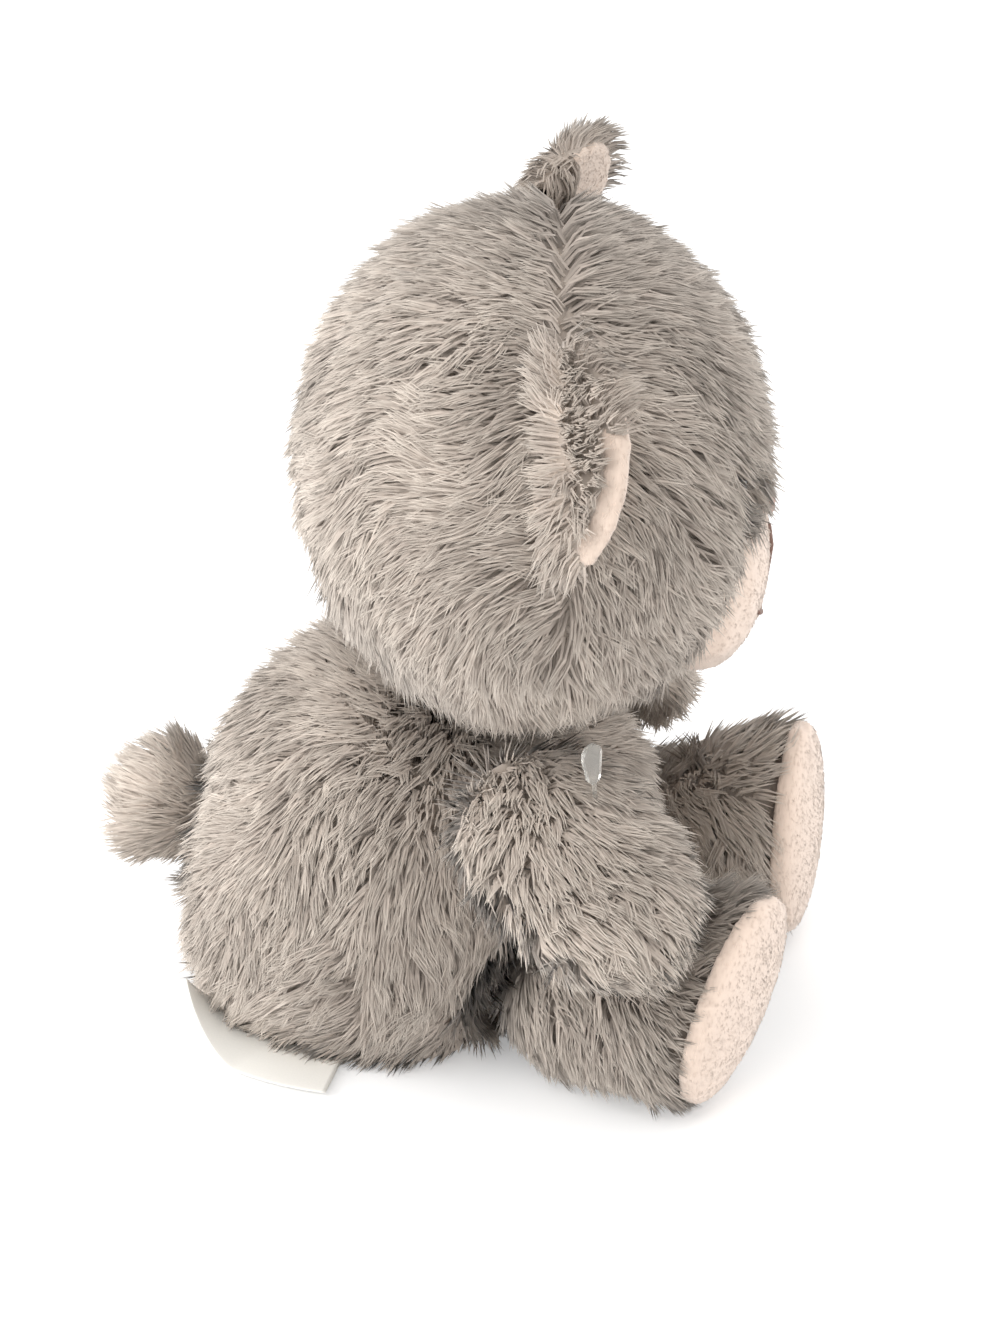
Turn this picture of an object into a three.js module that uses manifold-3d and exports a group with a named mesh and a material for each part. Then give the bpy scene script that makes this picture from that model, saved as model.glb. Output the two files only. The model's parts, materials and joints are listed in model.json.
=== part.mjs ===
// A seated plush teddy bear, cut from fur fabric and short velour, sewn, stuffed and weighted with pellets.
// Millimetres, +Z up. The bear faces -Y, its left side is +X, and the origin is the middle of its flat seat.
import * as THREE from "three";
import { mergeVertices } from "three/addons/utils/BufferGeometryUtils.js";
import Module from "manifold-3d";

// Cloth and sewing
const PILE = 6; // height of the fur over its backing
const BACKING = 1; // knitted backing that carries the fur
const VELOUR = 2.4; // short cream plush of the muzzle, ear linings and soles
const SEAM = 0.3; // gap at every sewn edge and between a cover and its filling
const FUR = PILE + BACKING;

// Torso: a barrel that is fullest at the belly, flattened under the seat and leaning forward
const TORSO_HEIGHT = 69;
const TORSO_HALF_WIDTH = 42;
const TORSO_HALF_DEPTH = 43;
const BELLY_LEVEL = 25;
const SEAT_ROUND = 19; // how far below the table the round of the bottom would close
const SHOULDER_SQUARENESS = 2.8; // exponent of the curve from belly to neck, seen from the front
const BACK_SQUARENESS = 2.6; // the same curve seen from the side
const TORSO_LEAN = 0.265; // forward shift of the centre line for each millimetre of height
const SEAT_BACK = 9.3; // the seat's middle lies this far behind the origin
const SEAT_PANEL = 3; // fur of the seat, pressed flat by the weight above it

// Pellet pouch in the seat
const POUCH_HALF_WIDTH = 22;
const POUCH_HALF_HEIGHT = 9;
const POUCH_CLOTH = 1.2;
const POUCH_MOUTH = 4; // radius of the filling mouth

// Head: a wide ball on the neck
const HEAD_HALF_WIDTH = 56;
const HEAD_HALF_DEPTH = 43;
const HEAD_HALF_HEIGHT = 44.5;
const HEAD_FORWARD = 0.5; // the head meets the torso this far in front of the middle of its top
const HEAD_YAW = 15; // degrees that the head looks to its left at rest
const NECK_GAP = 0.8;
const NECK_STITCH_RADIUS = 14;
const NECK_THREAD = 0.8; // radius of the thread ring round the neck
const NECK_STITCH_SINK = 0.6; // how far the ring beds into the dip round the middle of the torso's top
const FACE_SEAM = 5; // the ear-to-ear seam lies this far in front of the head's middle

// Face
const MUZZLE_HALF_WIDTH = 30;
const MUZZLE_HALF_HEIGHT = 21;
const MUZZLE_HALF_DEPTH = 14;
const MUZZLE_SINK = 14; // the muzzle's middle lies this far behind the front of the head
const MUZZLE_DROP = 18;
const EYE_RADIUS = 5;
const EYE_DOME = 3.6;
const EYE_SPACING = 40;
const EYE_LIFT = 5;
const STEM_RADIUS = 1.5;
const WASHER_RADIUS = 5.5;
const WASHER_THICKNESS = 1.6;
const STEM_END = 1; // how far a stem stands out of its washer
const NOSE_RADIUS = 5.6;
const NOSE_WIDENING = 1.35; // the nose is an oval, this much wider than it is high
const NOSE_DOME = 1.8;
const NOSE_ANGLE = 34; // degrees above the muzzle's middle
const MOUTH_THREAD = 0.6;
const MOUTH_ANGLE = 24; // degrees round the muzzle from its middle to each corner of the mouth
const MOUTH_LOW_ANGLE = 26; // degrees below the muzzle's middle
const MOUTH_CURL_ANGLE = 7; // degrees that the corners turn up

// Ears: two cloth discs let into the ear-to-ear seam
const EAR_HALF_WIDTH = 20;
const EAR_REACH = 16;
const EAR_FUR = 5;
const EAR_LINING = 3.2;
const EAR_ANGLE = 34; // degrees above the head's middle
const EAR_GAP = 0.5;
const EAR_SWING = 12; // degrees that an ear can fold to and fro; its root is trimmed to let it
const EAR_FOLD = 34; // degrees that each ear leans towards the face

// Arms: flat mittens sewn on at the shoulder
const ARM_LENGTH = 52.5;
const SHOULDER_HALF_THICKNESS = 7.8;
const PAW_HALF_THICKNESS = 11.5;
const SHOULDER_HALF_WIDTH = 15;
const ELBOW_HALF_WIDTH = 18.5;
const PAW_HALF_WIDTH = 16.5;
const SHOULDER_DROP = 10; // the arm seam lies this far below the torso's top
const SHOULDER_TURN = 30; // degrees that the shoulder lies forward of the flank
const ARM_ABOVE_SHOULDER = 10.5; // how far the arm's root reaches past its seam
const ARM_FORWARD = { right: 24, left: -30 }; // degrees that each arm points forward of straight down
const ARM_SPREAD = { right: 15, left: 0 }; // degrees that each arm stands off the torso

// Legs: soft cones from a round hip to an oval sole
const LEG_LENGTH = 53;
const HIP_RADIUS = 15;
// How each leg sits. Its hip lies so many degrees forward of the flank and so far out of the torso, and the
// rest lies in a socket. The leg turns outwards by its splay, and the top of the foot leans forward.
const LEG_POSE = {
  right: { hipTurn: 58, hipOut: 3, splay: 14, footLean: 12 },
  left: { hipTurn: 48, hipOut: 7, splay: 0, footLean: 0 },
};
const FOOT_HALF_WIDTH = 19;
const FOOT_HALF_HEIGHT = 23.5;
const SOLE_BULGE = 4;
const SOLE_BORDER = 2; // fur edge left showing round the sole
const LEG_SWING = 10; // degrees that a leg can swing in or out; the torso is hollowed to let it

// Tail: a stuffed oval at the bottom of the back seam
const TAIL_LENGTH = 24;
const TAIL_ROOT_RADIUS = 10;
const TAIL_OUT = 1; // how far the middle of the tail's root stands out of the back; the rest lies in a socket
const TAIL_HALF_WIDTH = 16;
const TAIL_LEVEL = 26;
const TAIL_RAISE = 22; // degrees
const TAIL_WAG = 15; // degrees to each side; the back is hollowed to let it

// Trim
const LABEL_LENGTH = 9; // how far the ribbon label stands out of the seat seam
const LABEL_THICKNESS = 0.9;
const LABEL_FROM = 40; // degrees round the seat, from the middle of the back to the right flank
const LABEL_TO = 92;
const PIN_PADDLE = { length: 8.5, halfWidth: 2.2, thickness: 0.9 };
const PIN_FILAMENT = { length: 3, radius: 0.45 };
const PIN_SHARE = 0.4; // share of the right arm's length where the pin goes in
const PIN_TURN = 24; // degrees round the arm, from its outer middle to its front edge

// Facets
const HEAD_SIDES = 24;
const TORSO_SIDES = 24;
const LIMB_SIDES = 16;
const SMALL_SIDES = 12;
const FINE_SIDES = 10;
const FAR = 300; // half-size of the blocks that halve a cover

const SIDES = { right: -1, left: 1 };
const radians = THREE.MathUtils.degToRad;
const vector = (x, y, z) => new THREE.Vector3(x, y, z);

const wasm = await Module();
wasm.setup();

// Solids: closed geometry in and out of the cutting library

function solid(geometry) {
  const bare = new THREE.BufferGeometry().setAttribute("position", geometry.getAttribute("position"));
  bare.setIndex(geometry.getIndex());
  const merged = mergeVertices(bare, 1e-4);
  return new wasm.Manifold(
    new wasm.Mesh({
      numProp: 3,
      vertProperties: new Float32Array(merged.getAttribute("position").array),
      triVerts: new Uint32Array(merged.getIndex().array),
    }),
  );
}

function geometryOf(cut) {
  const { vertProperties, triVerts } = cut.getMesh();
  const geometry = new THREE.BufferGeometry();
  geometry.setAttribute("position", new THREE.BufferAttribute(new Float32Array(vertProperties), 3));
  geometry.setIndex(new THREE.BufferAttribute(new Uint32Array(triVerts), 1));
  geometry.computeVertexNormals();
  return geometry;
}

// Everything on one side of a plane through a point: the side that the normal points to.
function halfSpace(point, normal) {
  const block = new THREE.BoxGeometry(2 * FAR, 2 * FAR, 2 * FAR);
  const turn = new THREE.Quaternion().setFromUnitVectors(vector(0, 0, 1), normal.clone().normalize());
  block.translate(0, 0, FAR).applyQuaternion(turn).translate(point.x, point.y, point.z);
  return solid(block);
}

function ellipsoid(halfX, halfY, halfZ, sides, centre = vector(0, 0, 0)) {
  const ball = new THREE.SphereGeometry(1, sides, sides / 2);
  ball.rotateX(Math.PI / 2).scale(halfX, halfY, halfZ).translate(centre.x, centre.y, centre.z);
  return solid(ball);
}

// A round rod along Z, used for stems and for the holes they pass through.
function rod(radius, fromZ, toZ, sides = FINE_SIDES) {
  const bar = new THREE.CylinderGeometry(radius, radius, toZ - fromZ, sides);
  return solid(bar.rotateX(Math.PI / 2).translate(0, 0, (fromZ + toZ) / 2));
}

// Skins a row of rings, all with as many points, and closes both ends with a fan.
function loft(rings) {
  const sides = rings[0].length;
  const middle = (ring) => ring.reduce((sum, p) => sum.add(p), vector(0, 0, 0)).divideScalar(sides);
  const points = [...rings.flat(), middle(rings[0]), middle(rings.at(-1))];
  const [first, last] = [points.length - 2, points.length - 1];
  const faces = [];
  for (let i = 0; i < sides; i++) {
    const next = (i + 1) % sides;
    faces.push(first, next, i);
    for (let k = 0; k + 1 < rings.length; k++) {
      const [low, high] = [k * sides, (k + 1) * sides];
      faces.push(low + i, low + next, high + next, low + i, high + next, high + i);
    }
    const end = (rings.length - 1) * sides;
    faces.push(last, end + i, end + next);
  }
  const geometry = new THREE.BufferGeometry().setFromPoints(points);
  geometry.setIndex(faces);
  return solid(geometry);
}

function ellipseRing(centre, axisU, axisV, sides) {
  return Array.from({ length: sides }, (_, i) => {
    const angle = (2 * Math.PI * i) / sides;
    return centre.clone().addScaledVector(axisU, Math.cos(angle)).addScaledVector(axisV, Math.sin(angle));
  });
}

// A stuffed tube along +X with rounded ends. Its half-width lies along Y, its half-height along Z, its middle
// can rise and its sections can lean. Each is a function of the share of the length. An inset makes the room
// inside its cover.
function stuffedTube({ length, startCap, endCap, halfWidth, halfHeight, rise, lean }, sides, inset = 0) {
  const capAngles = [0.25, 0.6, 1.05];
  const body = [0.25, 0.5, 0.75, 1];
  const [from, to] = [inset, length - inset];
  const [capA, capB] = [startCap - inset, endCap - inset];
  const middleLength = to - from - capA - capB;
  const stations = [
    ...capAngles.map((a) => [from + capA * (1 - Math.cos(a)), Math.sin(a)]),
    [from + capA, 1],
    ...body.map((t) => [from + capA + t * middleLength, 1]),
    ...capAngles.toReversed().map((a) => [to - capB * (1 - Math.cos(a)), Math.sin(a)]),
  ];
  const rings = stations.map(([x, round]) => {
    const share = x / length;
    const wide = (halfWidth(share) - inset) * round;
    const high = (halfHeight(share) - inset) * round;
    const upright = vector(high * lean(share), 0, high);
    return ellipseRing(vector(x, 0, rise(share)), vector(0, wide, 0), upright, sides);
  });
  return loft(rings);
}

const { lerp, smoothstep } = THREE.MathUtils;
const blend = (from, to) => (share) => lerp(from, to, smoothstep(share, 0, 1));
const swell = (from, middle, to) => (share) => {
  const pull = 2 * middle - (from + to) / 2;
  return from * (1 - share) ** 2 + 2 * pull * share * (1 - share) + to * share ** 2;
};

// Materials
const cloth = (color, roughness) => new THREE.MeshStandardMaterial({ color, roughness, metalness: 0 });
const material = {
  fur: cloth("#a59c93", 0.95),
  velour: cloth("#e6d6c9", 0.9),
  fibrefill: cloth("#f2efe9", 1),
  pouchCloth: cloth("#d8d5cf", 0.9),
  pellets: cloth("#e9e9ee", 0.45),
  thread: cloth("#6e665f", 0.8),
  ribbon: cloth("#f4f2ee", 0.6),
  eyePlastic: cloth("#15100d", 0.12),
  nosePlastic: cloth("#2b211d", 0.35),
  washer: cloth("#dcdcda", 0.5),
  nylon: cloth("#e4e2de", 0.2),
};

function piece(name, cut, look) {
  const mesh = new THREE.Mesh(geometryOf(cut), look);
  mesh.name = name;
  return mesh;
}

// A group whose local axes are a right-handed set: X along, Z out, and Y across.
function frameAt(origin, along, out) {
  const group = new THREE.Group();
  const x = along.clone().normalize();
  const z = out.clone().addScaledVector(x, -out.dot(x)).normalize();
  const y = z.clone().cross(x);
  group.position.copy(origin);
  group.quaternion.setFromRotationMatrix(new THREE.Matrix4().makeBasis(x, y, z));
  group.updateMatrix();
  return group;
}

const outOfFrame = (cut, group) => cut.transform([...group.matrix.elements]);

// Torso

const torsoMiddle = (z) => SEAT_BACK - TORSO_LEAN * z;

// Half-width and half-depth of the torso at a height, or of the room inside a cover of the given thickness.
function torsoHalves(z, inset = 0) {
  const below = Math.max(0, (BELLY_LEVEL - z) / (BELLY_LEVEL + SEAT_ROUND));
  const above = THREE.MathUtils.clamp((z - BELLY_LEVEL) / (TORSO_HEIGHT - inset - BELLY_LEVEL), 0, 1);
  const seat = Math.sqrt(1 - below ** 2);
  const closing = (power) => seat * (1 - above ** power) ** (1 / power);
  return {
    wide: (TORSO_HALF_WIDTH - inset) * closing(SHOULDER_SQUARENESS),
    deep: (TORSO_HALF_DEPTH - inset) * closing(BACK_SQUARENESS),
  };
}

// Sections lie level at the seat and tip forward with the centre line towards the neck.
const torsoTip = (z) => (TORSO_LEAN * z) / TORSO_HEIGHT;

// A place on the torso by its height on the centre line and by the angle from the left flank over the front.
function torsoPoint(z, turn) {
  const { wide, deep } = torsoHalves(z);
  const forward = deep * Math.sin(turn);
  return vector(wide * Math.cos(turn), torsoMiddle(z) - forward, z - torsoTip(z) * forward);
}

// Outward direction of the torso's surface, from two tangents.
function torsoNormal(z, turn) {
  const step = 0.01;
  const round = torsoPoint(z, turn + step).sub(torsoPoint(z, turn - step));
  const up = torsoPoint(z + step, turn).sub(torsoPoint(z - step, turn));
  return up.cross(round).normalize();
}

function torsoBarrel(inset, floor, sides = TORSO_SIDES) {
  const top = TORSO_HEIGHT - inset;
  const shares = [0, 0.18, 0.38, 0.56, 0.72, 0.84, 0.92, 0.97, 0.998];
  const rings = shares.map((share) => {
    const z = floor + share * (top - floor);
    const { wide, deep } = torsoHalves(z, inset);
    const back = vector(0, deep, deep * torsoTip(z - floor));
    return ellipseRing(vector(0, torsoMiddle(z), z), vector(wide, 0, 0), back, sides);
  });
  return loft(rings);
}

// The middle of a hip. The round of the hip rests just clear of the table and lies part-way in a socket.
function hipMiddle(side) {
  const { hipTurn, hipOut } = LEG_POSE[side];
  const turn = radians(side === "left" ? hipTurn : 180 - hipTurn);
  const level = HIP_RADIUS + SEAM;
  const out = torsoNormal(level, turn).setZ(0).normalize();
  return torsoPoint(level, turn).setZ(level).addScaledVector(out, hipOut);
}

function tailMiddle() {
  const out = torsoNormal(TAIL_LEVEL, -Math.PI / 2);
  return torsoPoint(TAIL_LEVEL, -Math.PI / 2).addScaledVector(out, TAIL_OUT);
}

// Hollows in the torso for the roots of the legs and the tail, as wide as their movement needs.
function torsoSockets() {
  const grown = -3 * SEAM;
  const legRoom = (side) => {
    const limb = legTube(side, grown, SMALL_SIDES);
    const swings = [-LEG_SWING, LEG_SWING].map((angle) => limb.rotate([0, 0, angle]));
    return outOfFrame(wasm.Manifold.hull([limb, ...swings]), legFrame(side));
  };
  const root = tailTube(grown, SMALL_SIDES);
  const wags = [-TAIL_WAG, TAIL_WAG].map((angle) => root.rotate([0, 0, angle]));
  const tailRoom = outOfFrame(wasm.Manifold.hull([root, ...wags]), tailFrame());
  return legRoom("right").add(legRoom("left")).add(tailRoom);
}

function torsoPieces() {
  const sockets = torsoSockets();
  const outer = torsoBarrel(0, 0).subtract(sockets);
  const room = torsoBarrel(FUR, 0);
  const aboveSeat = halfSpace(vector(0, 0, SEAT_PANEL + SEAM), vector(0, 0, 1));
  const cover = outer.subtract(room).intersect(aboveSeat);
  const seamY = torsoMiddle(BELLY_LEVEL);
  const front = halfSpace(vector(0, seamY - SEAM / 2, 0), vector(0, -1, 0));
  const back = halfSpace(vector(0, seamY + SEAM / 2, 0), vector(0, 1, 0));
  const backCover = cover.intersect(back);
  const seat = outer.intersect(halfSpace(vector(0, 0, SEAT_PANEL), vector(0, 0, -1)));

  const pouchMiddle = vector(0, torsoMiddle(0), SEAT_PANEL + 2 * SEAM + POUCH_HALF_HEIGHT);
  const pouch = (inset) =>
    ellipsoid(
      POUCH_HALF_WIDTH - inset,
      POUCH_HALF_WIDTH - inset,
      POUCH_HALF_HEIGHT - inset,
      SMALL_SIDES,
      pouchMiddle,
    );
  const mouth = rod(POUCH_MOUTH, 0, POUCH_HALF_HEIGHT + SEAM).translate([0, pouchMiddle.y, pouchMiddle.z]);
  const pouchBag = pouch(0).subtract(pouch(POUCH_CLOTH)).subtract(mouth);
  const stuffing = torsoBarrel(FUR + 2 * SEAM, SEAT_PANEL + 2 * SEAM, TORSO_SIDES / 2)
    .subtract(pouch(-SEAM))
    .subtract(sockets);

  const halves = Object.entries(SIDES).map(([side, sign]) => {
    const half = halfSpace(vector((sign * SEAM) / 2, 0, 0), vector(sign, 0, 0));
    return piece(`torso_back_${side}_panel`, backCover.intersect(half), material.fur);
  });
  return [
    piece("torso_front_panel", cover.intersect(front), material.fur),
    ...halves,
    piece("seat_panel", seat, material.fur),
    piece("torso_stuffing", stuffing, material.fibrefill),
    piece("pellet_pouch", pouchBag, material.pouchCloth),
    piece("pellet_fill", pouch(POUCH_CLOTH + SEAM), material.pellets),
  ];
}

// Ribbon label, folded double and sewn into the seat seam at the right of the back.
function labelPiece() {
  const z = SEAM + LABEL_THICKNESS;
  const wide = torsoHalves(z).wide + SEAM;
  const deep = torsoHalves(z).deep + SEAM;
  const [from, to] = [radians(90 + LABEL_FROM), radians(90 + LABEL_TO)];
  const outline = new THREE.Shape();
  outline.absellipse(0, 0, wide + LABEL_LENGTH, deep + LABEL_LENGTH, from, to, false);
  outline.absellipse(0, 0, wide, deep, to, from, true);
  const strip = new THREE.ExtrudeGeometry(outline, {
    depth: LABEL_THICKNESS,
    bevelEnabled: false,
    curveSegments: 10,
  });
  strip.translate(0, torsoMiddle(0), SEAM);
  return piece("seam_label", solid(strip), material.ribbon);
}

// Head

// The neck's frame lies on the torso's tipped top, with Z square to it. The upright head touches down where
// its own round has the same slope, so the head stays clear of the torso however it turns.
const neckY = torsoMiddle(TORSO_HEIGHT) - HEAD_FORWARD;
const neck = frameAt(
  vector(0, neckY, TORSO_HEIGHT - TORSO_LEAN * HEAD_FORWARD + NECK_GAP / 2),
  vector(1, 0, 0),
  vector(0, -TORSO_LEAN, 1),
);
const headReach = Math.hypot(HEAD_HALF_DEPTH * TORSO_LEAN, HEAD_HALF_HEIGHT);
const headTouch = vector(0, HEAD_HALF_DEPTH ** 2 * TORSO_LEAN, -(HEAD_HALF_HEIGHT ** 2));
headTouch.divideScalar(headReach);

const headBall = (inset, sides = HEAD_SIDES) =>
  ellipsoid(HEAD_HALF_WIDTH - inset, HEAD_HALF_DEPTH - inset, HEAD_HALF_HEIGHT - inset, sides);

// A place on the head's ball, a given depth under its surface, and the outward direction there.
function headSpot(x, z, inset) {
  const [a, b, c] = [HEAD_HALF_WIDTH - inset, HEAD_HALF_DEPTH - inset, HEAD_HALF_HEIGHT - inset];
  const y = -b * Math.sqrt(1 - (x / a) ** 2 - (z / c) ** 2);
  return { place: vector(x, y, z), out: vector(x / a ** 2, y / b ** 2, z / c ** 2).normalize() };
}

const muzzleMiddle = vector(0, MUZZLE_SINK - HEAD_HALF_DEPTH, -MUZZLE_DROP);
const muzzleBall = (inset, sides = LIMB_SIDES) =>
  ellipsoid(
    MUZZLE_HALF_WIDTH - inset,
    MUZZLE_HALF_DEPTH - inset,
    MUZZLE_HALF_HEIGHT - inset,
    sides,
    muzzleMiddle,
  );

// A place on the muzzle by degrees to the side and above its middle, and the outward direction there.
function muzzleSpot(across, above, lift = 0) {
  const [a, b] = [radians(across), radians(above)];
  const unit = vector(Math.sin(a) * Math.cos(b), -Math.cos(a) * Math.cos(b), Math.sin(b));
  const half = vector(MUZZLE_HALF_WIDTH, MUZZLE_HALF_DEPTH, MUZZLE_HALF_HEIGHT);
  const out = unit.clone().divide(half).normalize();
  return { place: unit.multiply(half).add(muzzleMiddle).addScaledVector(out, lift), out };
}

// A moulded button, revolved about Z: a dome on a flat base, with a stem through the cloth behind it.
function button(radius, dome, stemLength) {
  const steps = 6;
  const profile = [new THREE.Vector2(0, -stemLength), new THREE.Vector2(STEM_RADIUS, -stemLength)];
  profile.push(new THREE.Vector2(STEM_RADIUS, 0), new THREE.Vector2(radius, 0));
  for (let i = 1; i < steps; i++) {
    const angle = (i / steps) * (Math.PI / 2);
    profile.push(new THREE.Vector2(radius * Math.cos(angle), dome * Math.sin(angle)));
  }
  profile.push(new THREE.Vector2(0, dome));
  return new THREE.LatheGeometry(profile, FINE_SIDES).rotateX(Math.PI / 2);
}

// A lock washer behind the cloth, with its bore on Z and its face at the cloth.
function washer(clothDepth) {
  const [near, far] = [-clothDepth - SEAM, -clothDepth - SEAM - WASHER_THICKNESS];
  return rod(WASHER_RADIUS, far, near).subtract(rod(STEM_RADIUS + SEAM, far - 1, near + 1));
}

// Every moulded piece is a button in a pocket of the cover, with a stem hole and a washer in the filling.
function fixing(group, radius, coverDepth, reach) {
  const stemLength = coverDepth + 2 * SEAM + WASHER_THICKNESS + STEM_END;
  const pocket = rod(radius + SEAM, -SEAM, reach)
    .add(rod(STEM_RADIUS + SEAM, -stemLength, reach))
    .add(rod(WASHER_RADIUS + SEAM, -stemLength, -coverDepth));
  const hollow = rod(WASHER_RADIUS + SEAM, -stemLength - SEAM, reach);
  return { stemLength, pocket: outOfFrame(pocket, group), hollow: outOfFrame(hollow, group) };
}

// Embroidered mouth: a stitch down from the nose that parts into two curves.
function mouthStitch() {
  const lift = MOUTH_THREAD + SEAM;
  const low = -MOUTH_LOW_ANGLE;
  const start = NOSE_ANGLE / 3;
  const section = new THREE.Shape().absarc(0, 0, MOUTH_THREAD, 0, 2 * Math.PI, false);
  const along = (places) => {
    const path = new THREE.CatmullRomCurve3(places.map(([a, b]) => muzzleSpot(a, b, lift).place));
    return solid(new THREE.ExtrudeGeometry(section, { steps: 7, curveSegments: 3, extrudePath: path }));
  };
  const down = along([
    [0, start],
    [0, (start + low) / 2],
    [0, low],
  ]);
  const smile = along([
    [-MOUTH_ANGLE, low + MOUTH_CURL_ANGLE],
    [-MOUTH_ANGLE / 2, low - MOUTH_CURL_ANGLE / 4],
    [0, low],
    [MOUTH_ANGLE / 2, low - MOUTH_CURL_ANGLE / 4],
    [MOUTH_ANGLE, low + MOUTH_CURL_ANGLE],
  ]);
  return down.add(smile);
}

function headPieces() {
  const seamPlane = (shift) => vector(0, -FACE_SEAM + shift, 0);
  const front = halfSpace(seamPlane(-SEAM / 2), vector(0, -1, 0));
  const back = halfSpace(seamPlane(SEAM / 2), vector(0, 1, 0));
  const cover = headBall(0).subtract(headBall(FUR));
  let face = cover.intersect(front).subtract(muzzleBall(-SEAM));
  let muzzle = muzzleBall(0).subtract(muzzleBall(VELOUR)).subtract(headBall(FUR - SEAM));
  let stuffing = headBall(FUR + SEAM, HEAD_SIDES / 2).add(muzzleBall(VELOUR + SEAM, LIMB_SIDES / 2));

  const fixed = [];
  for (const [side, sign] of Object.entries(SIDES)) {
    const { place, out } = headSpot((sign * EYE_SPACING) / 2, EYE_LIFT, PILE);
    const group = frameAt(place, vector(0, 0, 1).cross(out), out);
    const { stemLength, pocket, hollow } = fixing(group, EYE_RADIUS, BACKING, PILE + EYE_DOME);
    face = face.subtract(pocket);
    stuffing = stuffing.subtract(hollow);
    group.add(piece(`${side}_eye`, solid(button(EYE_RADIUS, EYE_DOME, stemLength)), material.eyePlastic));
    group.add(piece(`${side}_eye_washer`, washer(BACKING), material.washer));
    fixed.push(group);
  }

  const tip = muzzleSpot(0, NOSE_ANGLE, SEAM);
  const noseGroup = frameAt(tip.place, vector(1, 0, 0), tip.out);
  const noseFixing = fixing(noseGroup, STEM_RADIUS, VELOUR + 2 * SEAM, NOSE_DOME);
  muzzle = muzzle.subtract(noseFixing.pocket);
  const widened = (cut) => cut.scale([NOSE_WIDENING, 1, 1]);
  const noseRoom = widened(rod(NOSE_RADIUS + SEAM, -noseFixing.stemLength, NOSE_DOME + PILE));
  face = face.subtract(outOfFrame(noseRoom, noseGroup));
  stuffing = stuffing.subtract(noseFixing.hollow);
  const roundNose = solid(button(NOSE_RADIUS, NOSE_DOME, noseFixing.stemLength));
  const noseDome = widened(roundNose).intersect(halfSpace(vector(0, 0, 0), vector(0, 0, 1)));
  noseGroup.add(piece("nose", noseDome.add(roundNose), material.nosePlastic));
  noseGroup.add(piece("nose_washer", washer(VELOUR + 2 * SEAM), material.washer));

  const halves = Object.entries(SIDES).map(([side, sign]) => {
    const half = halfSpace(vector((sign * SEAM) / 2, 0, 0), vector(sign, 0, 0));
    return piece(`head_back_${side}_panel`, cover.intersect(back).intersect(half), material.fur);
  });
  return [
    piece("face_panel", face, material.fur),
    ...halves,
    piece("muzzle_panel", muzzle, material.velour),
    piece("head_stuffing", stuffing, material.fibrefill),
    piece("mouth_stitch", mouthStitch(), material.thread),
    ...fixed,
    noseGroup,
  ];
}

// Thread ring that gathers the head onto the torso.
function neckStitching() {
  const ring = new THREE.TorusGeometry(NECK_STITCH_RADIUS, NECK_THREAD, 6, 20);
  ring.translate(0, 0, SEAM + NECK_THREAD - NECK_STITCH_SINK - NECK_GAP / 2);
  return piece("neck_stitching", solid(ring), material.thread);
}

// Ears: a velour lining in front and fur behind, hinged on the seam at the head's surface.
function ear(side) {
  const sign = SIDES[side];
  const angle = radians(EAR_ANGLE);
  const ring = Math.sqrt(1 - (FACE_SEAM / HEAD_HALF_DEPTH) ** 2);
  const x = sign * HEAD_HALF_WIDTH * ring * Math.cos(angle);
  const z = HEAD_HALF_HEIGHT * ring * Math.sin(angle);
  const { place, out } = headSpot(x, z, 0);
  const root = frameAt(place, out, vector(0, -1, 0));
  const fold = new THREE.Group();
  fold.rotation.y = -radians(EAR_FOLD);
  fold.updateMatrix();
  root.add(fold);
  const whole = new THREE.Matrix4().multiplyMatrices(root.matrix, fold.matrix);
  const head = headBall(-EAR_GAP).transform([...whole.clone().invert().elements]);
  const swept = head.rotate([0, EAR_SWING, 0]).add(head.rotate([0, -EAR_SWING, 0])).add(head);
  const half = (thickness, facing) =>
    ellipsoid(EAR_REACH, EAR_HALF_WIDTH, thickness, LIMB_SIDES)
      .intersect(halfSpace(vector(0, 0, (facing * SEAM) / 2), vector(0, 0, facing)))
      .subtract(swept);
  fold.add(piece(`${side}_ear_lining`, half(EAR_LINING, 1), material.velour));
  fold.add(piece(`${side}_ear_back`, half(EAR_FUR, -1), material.fur));
  return root;
}

// Arms: the frame's Z is the torso's outward direction at the shoulder, and its X runs down to the paw.
const shoulderLevel = TORSO_HEIGHT - SHOULDER_DROP;

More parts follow.
